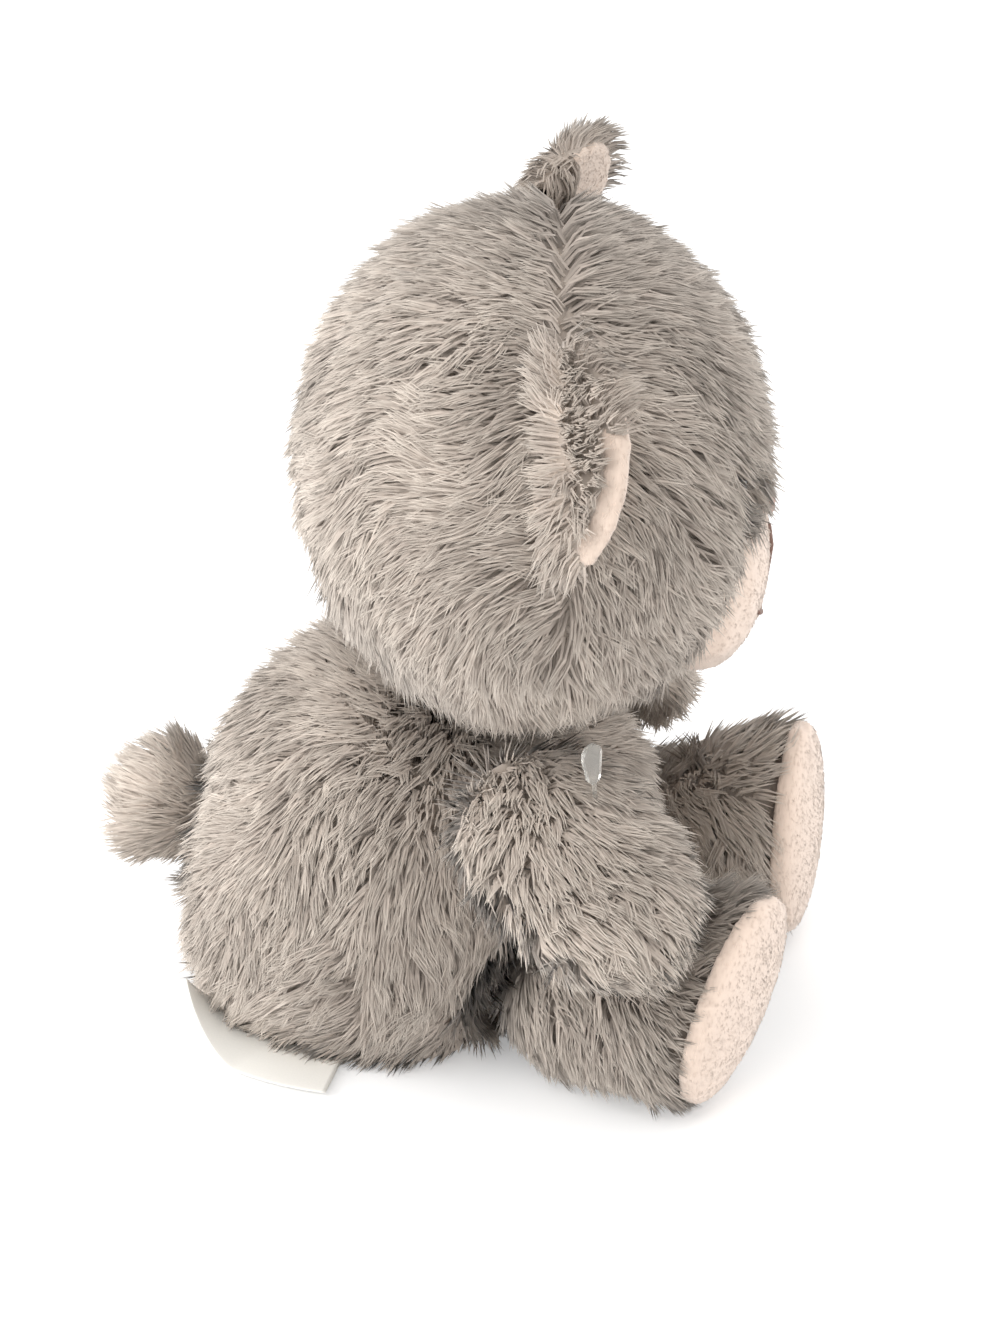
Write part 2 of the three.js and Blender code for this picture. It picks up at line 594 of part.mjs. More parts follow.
function arm(side) {
  const turn = side === "left" ? radians(SHOULDER_TURN) : Math.PI - radians(SHOULDER_TURN);
  const out = torsoNormal(shoulderLevel, turn);
  const forward = radians(ARM_FORWARD[side]);
  const down = vector(0, -Math.sin(forward), -Math.cos(forward));
  const spread = radians(ARM_SPREAD[side]);
  const along = down.addScaledVector(out, -down.dot(out)).setLength(Math.cos(spread));
  along.addScaledVector(out, Math.sin(spread));
  const limb = frameAt(torsoPoint(shoulderLevel, turn), along, out);
  const halfHeight = blend(SHOULDER_HALF_THICKNESS, PAW_HALF_THICKNESS);
  const shape = {
    length: ARM_LENGTH,
    startCap: SHOULDER_HALF_WIDTH,
    endCap: PAW_HALF_WIDTH,
    halfWidth: swell(SHOULDER_HALF_WIDTH, ELBOW_HALF_WIDTH, PAW_HALF_WIDTH),
    halfHeight,
    rise: (share) => halfHeight(share) + SEAM,
    lean: () => 0,
  };
  const seated = (inset, sides = LIMB_SIDES) =>
    stuffedTube(shape, sides, inset).translate([-ARM_ABOVE_SHOULDER, 0, 0]);
  const cover = seated(0).subtract(seated(FUR));
  const seamSlope = vector(SHOULDER_HALF_THICKNESS - PAW_HALF_THICKNESS, 0, ARM_LENGTH).normalize();
  const seamMiddle = vector(-ARM_ABOVE_SHOULDER, 0, SHOULDER_HALF_THICKNESS + SEAM);
  const half = (facing) => {
    const edge = seamMiddle.clone().addScaledVector(seamSlope, (facing * SEAM) / 2);
    return cover.intersect(halfSpace(edge, seamSlope.clone().multiplyScalar(facing)));
  };
  limb.add(piece(`${side}_arm_outer_panel`, half(1), material.fur));
  limb.add(piece(`${side}_arm_inner_panel`, half(-1), material.fur));
  limb.add(piece(`${side}_arm_stuffing`, seated(FUR + SEAM, LIMB_SIDES / 2), material.fibrefill));
  if (side === "right") limb.add(tagPin(shape));
  return limb;
}

// Clear nylon pin that held a swing ticket: a flat paddle on a short filament, shot into the arm.
function tagPin({ halfWidth, halfHeight, rise }) {
  const [wide, high] = [halfWidth(PIN_SHARE), halfHeight(PIN_SHARE)];
  const turn = radians(PIN_TURN);
  const out = vector(0, Math.sin(turn) / wide, Math.cos(turn) / high).normalize();
  const place = vector(
    PIN_SHARE * ARM_LENGTH - ARM_ABOVE_SHOULDER,
    wide * Math.sin(turn),
    rise(PIN_SHARE) + high * Math.cos(turn),
  );
  const upright = out.clone().multiplyScalar(0.8).add(vector(-0.6, 0, 0));
  const group = frameAt(place.addScaledVector(out, SEAM), upright, out);
  const { length, halfWidth: half, thickness } = PIN_PADDLE;
  const start = PIN_FILAMENT.length + half;
  const outline = new THREE.Shape();
  outline.absarc(start, 0, half * 0.7, Math.PI / 2, (3 * Math.PI) / 2, false);
  outline.absarc(start + length - 2 * half, 0, half, -Math.PI / 2, Math.PI / 2, false);
  const flat = { depth: thickness, bevelEnabled: false, curveSegments: 5 };
  const paddle = new THREE.ExtrudeGeometry(outline, flat).translate(0, 0, -thickness / 2);
  const filament = rod(PIN_FILAMENT.radius, 0, start, 8).rotate([0, 90, 0]);
  const joined = solid(paddle).add(filament);
  group.add(piece("tag_pin", joined, material.nylon));
  return group;
}

// Legs: the frame's origin is the middle of the round hip, its X runs to the sole and its Z is up.
function legFrame(side) {
  const splay = radians(LEG_POSE[side].splay * SIDES[side]);
  return frameAt(hipMiddle(side), vector(Math.sin(splay), -Math.cos(splay), 0), vector(0, 0, 1));
}

function legTube(side, inset, sides = LIMB_SIDES) {
  const shape = {
    length: LEG_LENGTH,
    startCap: HIP_RADIUS,
    endCap: FOOT_HALF_WIDTH / 2,
    halfWidth: blend(HIP_RADIUS, FOOT_HALF_WIDTH),
    halfHeight: blend(HIP_RADIUS, FOOT_HALF_HEIGHT),
    rise: blend(0, FOOT_HALF_HEIGHT - HIP_RADIUS),
    lean: blend(0, footSlope(side)),
  };
  return stuffedTube(shape, sides, inset).translate([-HIP_RADIUS, 0, 0]);
}

const footSlope = (side) => Math.tan(radians(LEG_POSE[side].footLean));

function leg(side) {
  const sign = SIDES[side];
  const limb = legFrame(side);
  const slope = footSlope(side);
  const foot = vector(LEG_LENGTH - HIP_RADIUS - SOLE_BULGE, 0, FOOT_HALF_HEIGHT - HIP_RADIUS);
  const [soleWide, soleHigh] = [FOOT_HALF_WIDTH - SOLE_BORDER, FOOT_HALF_HEIGHT - SOLE_BORDER];
  const behindSole = halfSpace(foot.clone().setX(foot.x - VELOUR - SEAM), vector(-1, 0, slope));
  const leaning = new THREE.Matrix4().makeShear(0, 0, 0, 0, slope, 0).setPosition(-slope * foot.z, 0, 0);
  const sole = ellipsoid(SOLE_BULGE, soleWide, soleHigh, LIMB_SIDES, foot)
    .intersect(halfSpace(foot, vector(1, 0, 0)))
    .add(soleDisc(foot, soleWide, soleHigh))
    .transform([...leaning.elements]);
  const cover = legTube(side, 0).subtract(legTube(side, FUR)).intersect(behindSole);
  const half = (facing) =>
    cover.intersect(halfSpace(vector(0, (facing * SEAM) / 2, 0), vector(0, facing, 0)));
  const filling = legTube(side, FUR + SEAM, LIMB_SIDES / 2).intersect(behindSole);
  limb.add(piece(`${side}_leg_outer_panel`, half(sign), material.fur));
  limb.add(piece(`${side}_leg_inner_panel`, half(-sign), material.fur));
  limb.add(piece(`${side}_sole`, sole, material.velour));
  limb.add(piece(`${side}_leg_stuffing`, filling, material.fibrefill));
  return limb;
}

// The flat velour behind the sole's bulge.
function soleDisc(foot, halfWidth, halfHeight) {
  const disc = new THREE.CylinderGeometry(1, 1, VELOUR, LIMB_SIDES);
  disc.rotateZ(Math.PI / 2).scale(1, halfWidth, halfHeight).translate(foot.x - VELOUR / 2, foot.y, foot.z);
  return solid(disc);
}

// Tail: two fur halves over a ball of filling, sewn into the back seam.
function tailFrame() {
  const raise = radians(TAIL_RAISE);
  return frameAt(tailMiddle(), vector(0, Math.cos(raise), Math.sin(raise)), vector(0, 0, 1));
}

function tailTube(inset, sides = LIMB_SIDES) {
  const shape = {
    length: TAIL_LENGTH,
    startCap: TAIL_ROOT_RADIUS,
    endCap: TAIL_LENGTH / 2,
    halfWidth: blend(TAIL_ROOT_RADIUS, TAIL_HALF_WIDTH),
    halfHeight: blend(TAIL_ROOT_RADIUS, TAIL_HALF_WIDTH),
    rise: () => 0,
    lean: () => 0,
  };
  return stuffedTube(shape, sides, inset).translate([-TAIL_ROOT_RADIUS, 0, 0]);
}

function tail() {
  const limb = tailFrame();
  const cover = tailTube(0).subtract(tailTube(FUR));
  for (const [side, sign] of Object.entries(SIDES)) {
    const half = halfSpace(vector(0, (-sign * SEAM) / 2, 0), vector(0, -sign, 0));
    limb.add(piece(`tail_${side}_panel`, cover.intersect(half), material.fur));
  }
  limb.add(piece("tail_stuffing", tailTube(FUR + SEAM, LIMB_SIDES / 2), material.fibrefill));
  return limb;
}

const head = new THREE.Group();
head.rotation.x = -Math.atan(TORSO_LEAN);
head.position.copy(headTouch).applyEuler(head.rotation).negate();
head.position.z += NECK_GAP / 2;
head.add(...headPieces(), ear("right"), ear("left"));

const turn = new THREE.Group();
turn.rotation.z = radians(HEAD_YAW);
turn.add(head);
neck.add(neckStitching(), turn);

const bear = new THREE.Group();
bear.add(...torsoPieces(), labelPiece(), neck);
bear.add(arm("right"), arm("left"), leg("right"), leg("left"), tail());

export default bear;
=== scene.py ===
import json
import math
from functools import partial

import bpy
import numpy as np
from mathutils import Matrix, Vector
from mathutils.bvhtree import BVHTree
from mathutils.kdtree import KDTree


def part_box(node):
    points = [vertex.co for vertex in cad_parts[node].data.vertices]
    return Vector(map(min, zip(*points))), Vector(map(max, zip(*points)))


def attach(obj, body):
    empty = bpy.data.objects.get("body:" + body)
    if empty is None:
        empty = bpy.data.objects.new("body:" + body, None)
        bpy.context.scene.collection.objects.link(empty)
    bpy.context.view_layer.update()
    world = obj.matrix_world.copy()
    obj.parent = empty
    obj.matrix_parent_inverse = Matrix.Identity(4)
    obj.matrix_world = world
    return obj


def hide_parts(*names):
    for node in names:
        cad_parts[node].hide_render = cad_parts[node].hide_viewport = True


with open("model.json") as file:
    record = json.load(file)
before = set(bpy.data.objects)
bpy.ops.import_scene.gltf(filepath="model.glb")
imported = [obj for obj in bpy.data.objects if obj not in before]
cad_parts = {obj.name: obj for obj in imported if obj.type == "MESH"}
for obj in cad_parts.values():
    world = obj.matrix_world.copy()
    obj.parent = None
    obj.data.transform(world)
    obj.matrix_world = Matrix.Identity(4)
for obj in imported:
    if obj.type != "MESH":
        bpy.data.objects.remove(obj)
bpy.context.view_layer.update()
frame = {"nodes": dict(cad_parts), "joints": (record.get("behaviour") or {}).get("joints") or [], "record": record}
nodes = frame["nodes"]

# Pellet pouch: a small bag of plain woven lining that sits in the seat, so that the bear stays upright.
# It is sewn shut round the pellets, lies loose under the filling and is creased by them.
POUCH_CLOTH = (216, 213, 207)
POUCH_THREADS = 900
POUCH_WEAVE = 0.0003
POUCH_VOXEL = 0.0009
POUCH_ROUNDING = 3
POUCH_CREASE = 0.0007
POUCH_CREASE_SIZE = 0.006


def pick(*objects):
    """Selects these objects alone, the first one active, as the operators expect."""
    bpy.ops.object.select_all(action="DESELECT")
    for item in objects:
        item.select_set(True)
    bpy.context.view_layer.objects.active = objects[0]


def copy_of(name, *sources):
    """One new object from copies of CAD nodes, with their loose triangles merged."""
    copies = []
    for source in sources:
        twin = bpy.data.objects.new(name, nodes[source].data.copy())
        twin.data.materials.clear()
        bpy.context.collection.objects.link(twin)
        copies.append(twin)
    pick(*copies)
    if len(copies) > 1:
        bpy.ops.object.join()
    made = bpy.context.view_layer.objects.active
    bpy.ops.object.mode_set(mode="EDIT")
    bpy.ops.mesh.select_all(action="SELECT")
    bpy.ops.mesh.remove_doubles(threshold=1e-6)
    bpy.ops.object.mode_set(mode="OBJECT")
    made.name = made.data.name = name
    return made


def shaped(piece, kind, **settings):
    """Adds a modifier to a piece and applies it."""
    modifier = piece.modifiers.new(kind.title(), kind)
    for setting, value in settings.items():
        setattr(modifier, setting, value)
    pick(piece)
    bpy.ops.object.modifier_apply(modifier=modifier.name)


def smoothed(piece, rounds):
    """Evens out the surface of a piece, more with each round."""
    shaped(piece, "SMOOTH", factor=0.5, iterations=rounds)


def remeshed(piece, voxel):
    """Skins a piece afresh with even faces and keeps only its outermost closed surface."""
    name = piece.name
    pick(piece)
    piece.data.remesh_voxel_size = voxel
    bpy.ops.object.voxel_remesh()
    bpy.ops.object.mode_set(mode="EDIT")
    bpy.ops.mesh.select_all(action="SELECT")
    bpy.ops.mesh.separate(type="LOOSE")
    bpy.ops.object.mode_set(mode="OBJECT")
    parts = sorted(bpy.context.selected_objects, key=lambda part: part.dimensions.length)
    for part in parts[:-1]:
        bpy.data.objects.remove(part)
    parts[-1].name = parts[-1].data.name = name
    return parts[-1]


def linear(red, green, blue):
    """A colour as a photograph shows it, 0 to 255, as a shader's own numbers."""
    shares = (value / 255 for value in (red, green, blue))
    return *(s / 12.92 if s <= 0.04045 else ((s + 0.055) / 1.055) ** 2.4 for s in shares), 1.0


# A Mix node's colour sockets go by their place, because its numbers share their names.
MIX_FACTOR, MIX_FIRST, MIX_SECOND, MIX_COLOUR = 0, 6, 7, 2


class Finish:
    """A socket of a material. Sums on it add Math nodes, and node() adds any other node."""

    def __init__(self, tree, socket=None):
        self.tree = tree
        self.socket = socket

    def node(self, kind, settings, sockets, output=0):
        made = self.tree.nodes.new("ShaderNode" + kind)
        for name, value in settings.items():
            if name == "stops":
                ramp = made.color_ramp.elements
                while len(ramp) < len(value):
                    ramp.new(0.5)
                for stop, (place, colour) in zip(ramp, value):
                    stop.position, stop.color = place, colour
            else:
                setattr(made, name, value)
        for name, value in sockets.items():
            if isinstance(value, Finish):
                self.tree.links.new(value.socket, made.inputs[name])
            else:
                made.inputs[name].default_value = value
        return Finish(self.tree, made.outputs[output])

    def maths(self, operation, first, second):
        return self.node("Math", {"operation": operation}, {0: first, 1: second})

    def __add__(self, other):
        return self.maths("ADD", self, other)

    def __mul__(self, other):
        return self.maths("MULTIPLY", self, other)

    def __rsub__(self, other):
        return self.maths("SUBTRACT", other, self)

    __radd__ = __add__
    __rmul__ = __mul__

    def noise(self, scale, **sockets):
        """A cloudy pattern over this place."""
        return self.node("TexNoise", {}, {"Vector": self, "Scale": scale, **sockets})

    def mixed(self, first, second):
        """A colour between two others, by this value."""
        sockets = {MIX_FACTOR: self, MIX_FIRST: first, MIX_SECOND: second}
        return self.node("Mix", {"data_type": "RGBA"}, sockets, MIX_COLOUR)

    def tinted(self, other):
        """This colour multiplied by another."""
        settings = {"data_type": "RGBA", "blend_type": "MULTIPLY"}
        sockets = {MIX_FACTOR: 1.0, MIX_FIRST: self, MIX_SECOND: other}
        return self.node("Mix", settings, sockets, MIX_COLOUR)

    def mottles(self, colour, darkest):
        """Colours the piece, from a darker share of one colour up to that colour."""
        dark = (darkest * value for value in colour)
        self.mixed(linear(*dark), linear(*colour)).feeds("Base Color")

    def feeds(self, name):
        """Links this value to a socket of the shader."""
        shader = self.tree.nodes["Principled BSDF"]
        self.tree.links.new(self.socket, shader.inputs[name])

    def bumps(self, strength, distance):
        """Raises the surface by this value."""
        sockets = {"Height": self, "Strength": strength, "Distance": distance}
        self.node("Bump", {}, sockets, "Normal").feeds("Normal")


def new_finish(name, constants):
    """A new material, and where its pattern starts: a place on the piece."""
    material = bpy.data.materials.new(name)
    material.use_nodes = True
    shader = material.node_tree.nodes["Principled BSDF"]
    for socket, value in constants.items():
        shader.inputs[socket].default_value = value
    return material, Finish(material.node_tree).node("TexCoord", {}, {}, "Object")


def pouch_finish():
    """Plain woven lining, with threads that cross."""
    material, place = new_finish("pouch_cloth", {"Roughness": 0.9, "Base Color": linear(*POUCH_CLOTH)})
    warp = place.node("TexWave", {"bands_direction": "X"}, {"Vector": place, "Scale": POUCH_THREADS})
    weft = place.node("TexWave", {"bands_direction": "Y"}, {"Vector": place, "Scale": POUCH_THREADS})
    (warp + weft).bumps(0.5, POUCH_WEAVE)
    return material


def clouds(name, size):
    """A lumpy pattern to displace a surface by."""
    texture = bpy.data.textures.new(name, "CLOUDS")
    texture.noise_scale = size
    return texture


pouch = remeshed(copy_of("pouch_bag", "pellet_pouch"), POUCH_VOXEL)
smoothed(pouch, POUCH_ROUNDING)
creases = clouds("creases", POUCH_CREASE_SIZE)
shaped(pouch, "DISPLACE", texture=creases, texture_coords="GLOBAL", strength=POUCH_CREASE, mid_level=0.5)
pouch.data.shade_smooth()
pouch.data.materials.append(pouch_finish())
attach(pouch, "torso")
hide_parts("pellet_pouch")

# Pellets: loose beads of moulded milky plastic that weigh the seat down.
# They are poured into the pouch until it is full, and lie packed in it.
PELLET_HALF = (0.0016, 0.0016, 0.0012)
PELLET_PITCH = 0.0034
PELLET_STACK = (1, 1, 0.75)
PELLET_SHAKE = 0.00025
PELLET_SEED = 7
PELLET_WHITE = (233, 233, 238)
PELLET_MILK = 300


def poured(low, high):
    """Places for pellets on a shaken grid inside the round of a box."""
    middle, half = (low + high) / 2, (high - low) / 2
    steps = [np.arange(-h, h, PELLET_PITCH * share) for h, share in zip(half, PELLET_STACK)]
    grid = np.stack(np.meshgrid(*steps, indexing="ij"), -1).reshape(-1, 3)
    grid = grid[(((np.abs(grid) + PELLET_HALF) / half) ** 2).sum(1) < 1]
    shake = np.random.default_rng(PELLET_SEED).uniform(-1, 1, grid.shape)
    return middle + grid + shake * PELLET_SHAKE


bpy.ops.object.select_all(action="DESELECT")
bpy.ops.mesh.primitive_ico_sphere_add(subdivisions=1, radius=1)
bead = bpy.context.object
bead_points = np.array([v.co[:] for v in bead.data.vertices]) * PELLET_HALF
bead_faces = np.array([face.vertices[:] for face in bead.data.polygons])
bpy.data.objects.remove(bead)
bead_places = poured(*(np.array(corner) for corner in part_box("pellet_fill")))
bead_first = len(bead_points) * np.arange(len(bead_places))[:, None, None]
heap = bpy.data.meshes.new("pellet_heap")
heap_points = (bead_places[:, None] + bead_points).reshape(-1, 3)
heap.from_pydata(heap_points.tolist(), [], (bead_first + bead_faces).reshape(-1, 3).tolist())
heap.shade_smooth()
pellets, place = new_finish("pellets", {"Roughness": 0.45, "Subsurface Weight": 0.2})
place.noise(PELLET_MILK).mottles(PELLET_WHITE, 0.9)
heap.materials.append(pellets)
heap = bpy.data.objects.new("pellet_heap", heap)
bpy.context.collection.objects.link(heap)
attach(heap, "torso")
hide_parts("pellet_fill")

# Fibrefill: loose polyester fibre that rounds out the head, body, limbs and tail.
# It is pushed in by hand through the open back seam, so it is lumpy and takes its cover's shape.
FILLED_BODIES = {
    "torso_stuffing": "torso",
    "head_stuffing": "head",
    "left_arm_stuffing": "left_arm",
    "right_arm_stuffing": "right_arm",
    "left_leg_stuffing": "left_leg",
    "right_leg_stuffing": "right_leg",
    "tail_stuffing": "tail",
}
FIBRE_WHITE = (242, 239, 233)
FIBRE_SHADOW = (206, 202, 195)
FIBRE_TANGLE = 160
FIBRE_LOFT = 0.002
WAD_SIZE = 0.009
WAD_DEPTH = 0.0016
WAD_ROUNDING = 4


def fibrefill_finish():
    """Matt white fibre in tangled wads."""
    material, place = new_finish("fibrefill", {"Roughness": 1.0, "Sheen Weight": 0.4})
    wads = place.noise(FIBRE_TANGLE, Detail=6, Distortion=2)
    wads.mixed(linear(*FIBRE_SHADOW), linear(*FIBRE_WHITE)).feeds("Base Color")
    wads.bumps(0.7, FIBRE_LOFT)
    return material


fibrefill = fibrefill_finish()
wad_lumps = clouds("wads", WAD_SIZE)
for node, body in FILLED_BODIES.items():
    wad = remeshed(copy_of(f"{node}_wad", node), WAD_SIZE / 4)
    smoothed(wad, WAD_ROUNDING)
    shaped(wad, "DISPLACE", texture=wad_lumps, texture_coords="GLOBAL", strength=WAD_DEPTH, mid_level=1)
    wad.data.shade_smooth()
    wad.data.materials.append(fibrefill)
    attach(wad, body)
    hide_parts(node)

# Torso cover: three panels and a seat cut from long-pile fur fabric, grey with pale tips.
# The panels are sewn face to face, turned and stuffed, so the backing swells and the pile hides the seams.
# Painted light: the roots are paler than the middle of each tuft, standing in for light that passes through the
# fibres into the shaded gaps between tufts. The pale tips are the fur's own.
FUR_ROOT = (225, 212, 200)
FUR_SHADE = (203, 190, 179)
FUR_HAIR = (188, 176, 165)
FUR_TIP = (230, 219, 207)
DARKEST_TUFT = (0.7, 0.69, 0.68, 1)
PALEST_TUFT = (1.18, 1.175, 1.165, 1)
ROOT_ROUGHNESS = 0.95
TIP_GLOSS = 0.2
BACKING_DEPTH = 0.0038
BACKING_CLOTH = 0.001
BACKING_TONE = 0.3
BACKING_SHADE = 0.55
CLOTH_VOXEL = 0.003
CLOTH_ROUNDING = 3
STUFFING_PRESSURE = 4
STUFFING_FRAMES = 20
MOST_SWELLING = 0.0015
PRESS_FULL = 0.0045
PRESS_FADE = 0.004
PRESSED_LEAN = 1.45
UPRIGHT = ("neck", "head", "ear")
GATHERED = ("torso", "head")
NECK_LIFT = 0.7
NECK_REACH = 0.03
NECK_FADE = 0.012
NECK_FLARE = 25
CROWN_FORWARD = 0.004
# Painted light: over the lowest share of each piece's height its pile is paler, as if lit from low on the left.
PAINTED_LOW_LIGHT_SHARE = 0.5
WHORL = 0.45
TORSO_SEED = 100
# How the pile varies: over patches of the cloth, from lock to lock and from tuft to tuft.
DRIFT_WAVES = 7
DRIFT_SPREAD = (0.6, 1.4)
DRIFT_PEAK = 2.6
STRAY_DRIFT = 0.5
STRAY_PATCH = 0.03
LOCK_LEAN = 0.08
TUFT_LEAN = 0.06
TIP_STRAYS = 1.4
LENGTH_DRIFT = 0.12
LENGTH_PATCH = 0.02
LENGTH_NOISE = 0.1
TONE_DRIFT = 0.12
TONE_PATCH = 0.025
TONE_NOISE = 0.05
PALE_LOCKS = 0.55
PALE_RARITY = 4
# Where each tuft bends, by a share of its length, how thick it is there and how much it gathers.
BEND_AT = 0.45
BEND_WIDTH = 0.85
BEND_GATHER = 0.3
TUFT_MAP = "OFBake"
TUFT_COLUMN = 0.008
# Lengths are in metres, tufts and locks go by the square metre, and leans are in radians from upright.
PILE = {
    "length": 0.0086,
    "width": 0.0003,
    "density": 2.4e6,
    "locks": 0.36e6,
    "gather": 0.28,
    "root_lean": 0.65,
    "tip_lean": 1.2,
    "untidy": 0.28,
    "tone": 0.35,
    "painted_low_light": 0.2,
    "softness": 0.82,
    "yields": 1.0,
}


def unit(vectors):
    """The same directions at a length of 1."""
    return vectors / np.maximum(np.linalg.norm(vectors, axis=-1, keepdims=True), 1e-12)


def numbers(items, name, width, kind=np.float64):
    """One property of many mesh elements as an array."""
    found = np.empty(len(items) * width, kind)
    items.foreach_get(name, found)
    return found.reshape(-1, width) if width > 1 else found


def stuffed_skin(name, sources, depth, voxel=CLOTH_VOXEL):
    """The backing cloth under a body's pile, drawn in from the outside of its CAD panels and stuffed."""
    skin = remeshed(copy_of(name, *sources), voxel)
    smoothed(skin, CLOTH_ROUNDING)
    shaped(skin, "DISPLACE", strength=-depth - MOST_SWELLING / 2, mid_level=0)
    smoothed(skin, 1)
    swell(skin)
    return skin


def swell(skin):
    """Lets the filling press the cloth out, no further than its cut allows."""
    before = numbers(skin.data.vertices, "co", 3)
    cloth = skin.modifiers.new("Stuffing", "CLOTH")
    cloth.settings.use_pressure = True
    cloth.settings.uniform_pressure_force = STUFFING_PRESSURE
    cloth.settings.effector_weights.gravity = 0
    cloth.point_cache.frame_end = STUFFING_FRAMES
    for step in range(STUFFING_FRAMES):
        bpy.context.scene.frame_set(step + 1)
    pick(skin)
    bpy.ops.object.modifier_apply(modifier=cloth.name)
    bpy.context.scene.frame_set(1)
    moved = numbers(skin.data.vertices, "co", 3) - before
    far = np.linalg.norm(moved, axis=1, keepdims=True)
    moved *= np.minimum(1, MOST_SWELLING / np.maximum(far, 1e-9))
    skin.data.vertices.foreach_set("co", (before + moved).ravel())
    skin.data.update()


def nearest_panel(skin, panels):
    """For each face of a skin, which of the CAD panels it belongs to."""
    middles = numbers(skin.data.polygons, "center", 3)
    gaps = []
    for panel in panels:
        mesh = nodes[panel].data
        faces = [tuple(face.vertices) for face in mesh.polygons]
        tree = BVHTree.FromPolygons([v.co for v in mesh.vertices], faces)
        gaps.append([tree.find_nearest(Vector(middle))[3] for middle in middles])
    return np.argmin(gaps, axis=0)


def cut_away(piece, waste):
    """Deletes the faces of a piece that are waste."""
    pick(piece)
    bpy.ops.object.mode_set(mode="EDIT")
    bpy.ops.mesh.select_mode(type="FACE")
    bpy.ops.object.mode_set(mode="OBJECT")
    piece.data.polygons.foreach_set("select", waste)
    bpy.ops.object.mode_set(mode="EDIT")
    bpy.ops.mesh.delete(type="FACE")
    bpy.ops.object.mode_set(mode="OBJECT")


def backing(name, skin, chosen, thickness=BACKING_CLOTH):
    """The knitted cloth under one panel's pile: that panel's share of the skin, with a thickness."""
    cloth = bpy.data.objects.new(name, skin.data.copy())
    bpy.context.collection.objects.link(cloth)
    cut_away(cloth, ~chosen)
    shaped(cloth, "SOLIDIFY", thickness=thickness, offset=-1)
    one_tone(cloth.data, BACKING_TONE, BACKING_SHADE)
    return cloth


def one_tone(mesh, tone, along):
    """Maps every face of a cloth onto the same small square of the tufts' map."""
    lay = mesh.uv_layers.new(name=TUFT_MAP)
    starts = numbers(mesh.polygons, "loop_start", 1, np.int32)
    sizes = numbers(mesh.polygons, "loop_total", 1, np.int32)
    corner = np.arange(len(mesh.loops)) - np.repeat(starts, sizes)
    square = np.array([(0, 0), (1, 0), (1, 1), (0, 1)]) * 2 * TUFT_COLUMN
    lay.data.foreach_set("uv", (square[corner % 4] + (tone, along)).ravel())


def drift(points, size, rng):
    """A smooth random number at each point, from about -1 to 1, that changes over this size."""
    waves = unit(rng.normal(size=(DRIFT_WAVES, 3))) * (2 * math.pi / size)
    waves *= rng.uniform(*DRIFT_SPREAD, (DRIFT_WAVES, 1))
    starts = rng.uniform(0, 2 * math.pi, DRIFT_WAVES)
    return np.sin(points @ waves.T + starts).sum(1) / DRIFT_PEAK


def scattered(skin, chosen, density, rng):
    """Roots of the pile on the chosen faces of a skin, the normal at each, and the area of the faces."""
    mesh = skin.data
    mesh.calc_loop_triangles()
    corners = numbers(mesh.loop_triangles, "vertices", 3, np.int32)
    owners = numbers(mesh.loop_triangles, "polygon_index", 1, np.int32)
    corners = corners[chosen[owners]]
    places = numbers(mesh.vertices, "co", 3)[corners]
    normals = numbers(mesh.vertex_normals, "vector", 3)[corners]
    areas = np.linalg.norm(np.cross(places[:, 1] - places[:, 0], places[:, 2] - places[:, 0]), axis=1) / 2
    count = int(areas.sum() * density)
    face = rng.choice(len(areas), count, p=areas / areas.sum())
    first, second = np.sqrt(rng.random(count)), rng.random(count)
    weights = np.stack([1 - first, first * (1 - second), first * second], 1)[:, :, None]
    return (places[face] * weights).sum(1), unit((normals[face] * weights).sum(1)), areas.sum()


def pressed(body, points):
    """How much the torso, the limbs and the tail press on points of another body's cloth, from 0 to 1."""
    corners, faces = [], []
    for other, names in frame["record"]["behaviour"]["bodies"].items():
        if other != body and not other.endswith(UPRIGHT):
            for name in names:
                mesh = nodes[name].data
                faces += [[len(corners) + corner for corner in face.vertices] for face in mesh.polygons]
                corners += [v.co for v in mesh.vertices]
    tree = BVHTree.FromPolygons(corners, faces)
    gap = np.array([tree.find_nearest(Vector(point))[3] for point in points])
    return np.clip(1 - (gap - PRESS_FULL) / PRESS_FADE, 0, 1)


def middle_of(node):
    """The middle of a CAD node's box."""
    low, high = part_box(node)
    return np.array((low + high) / 2)


def lifted(points):
    """How much the gathered neck makes the pile about it stand up, from 0 to 1."""
    gap = np.linalg.norm(points - middle_of("neck_stitching"), axis=1)
    return np.clip(1 - (gap - NECK_REACH) / NECK_FADE, 0, 1)


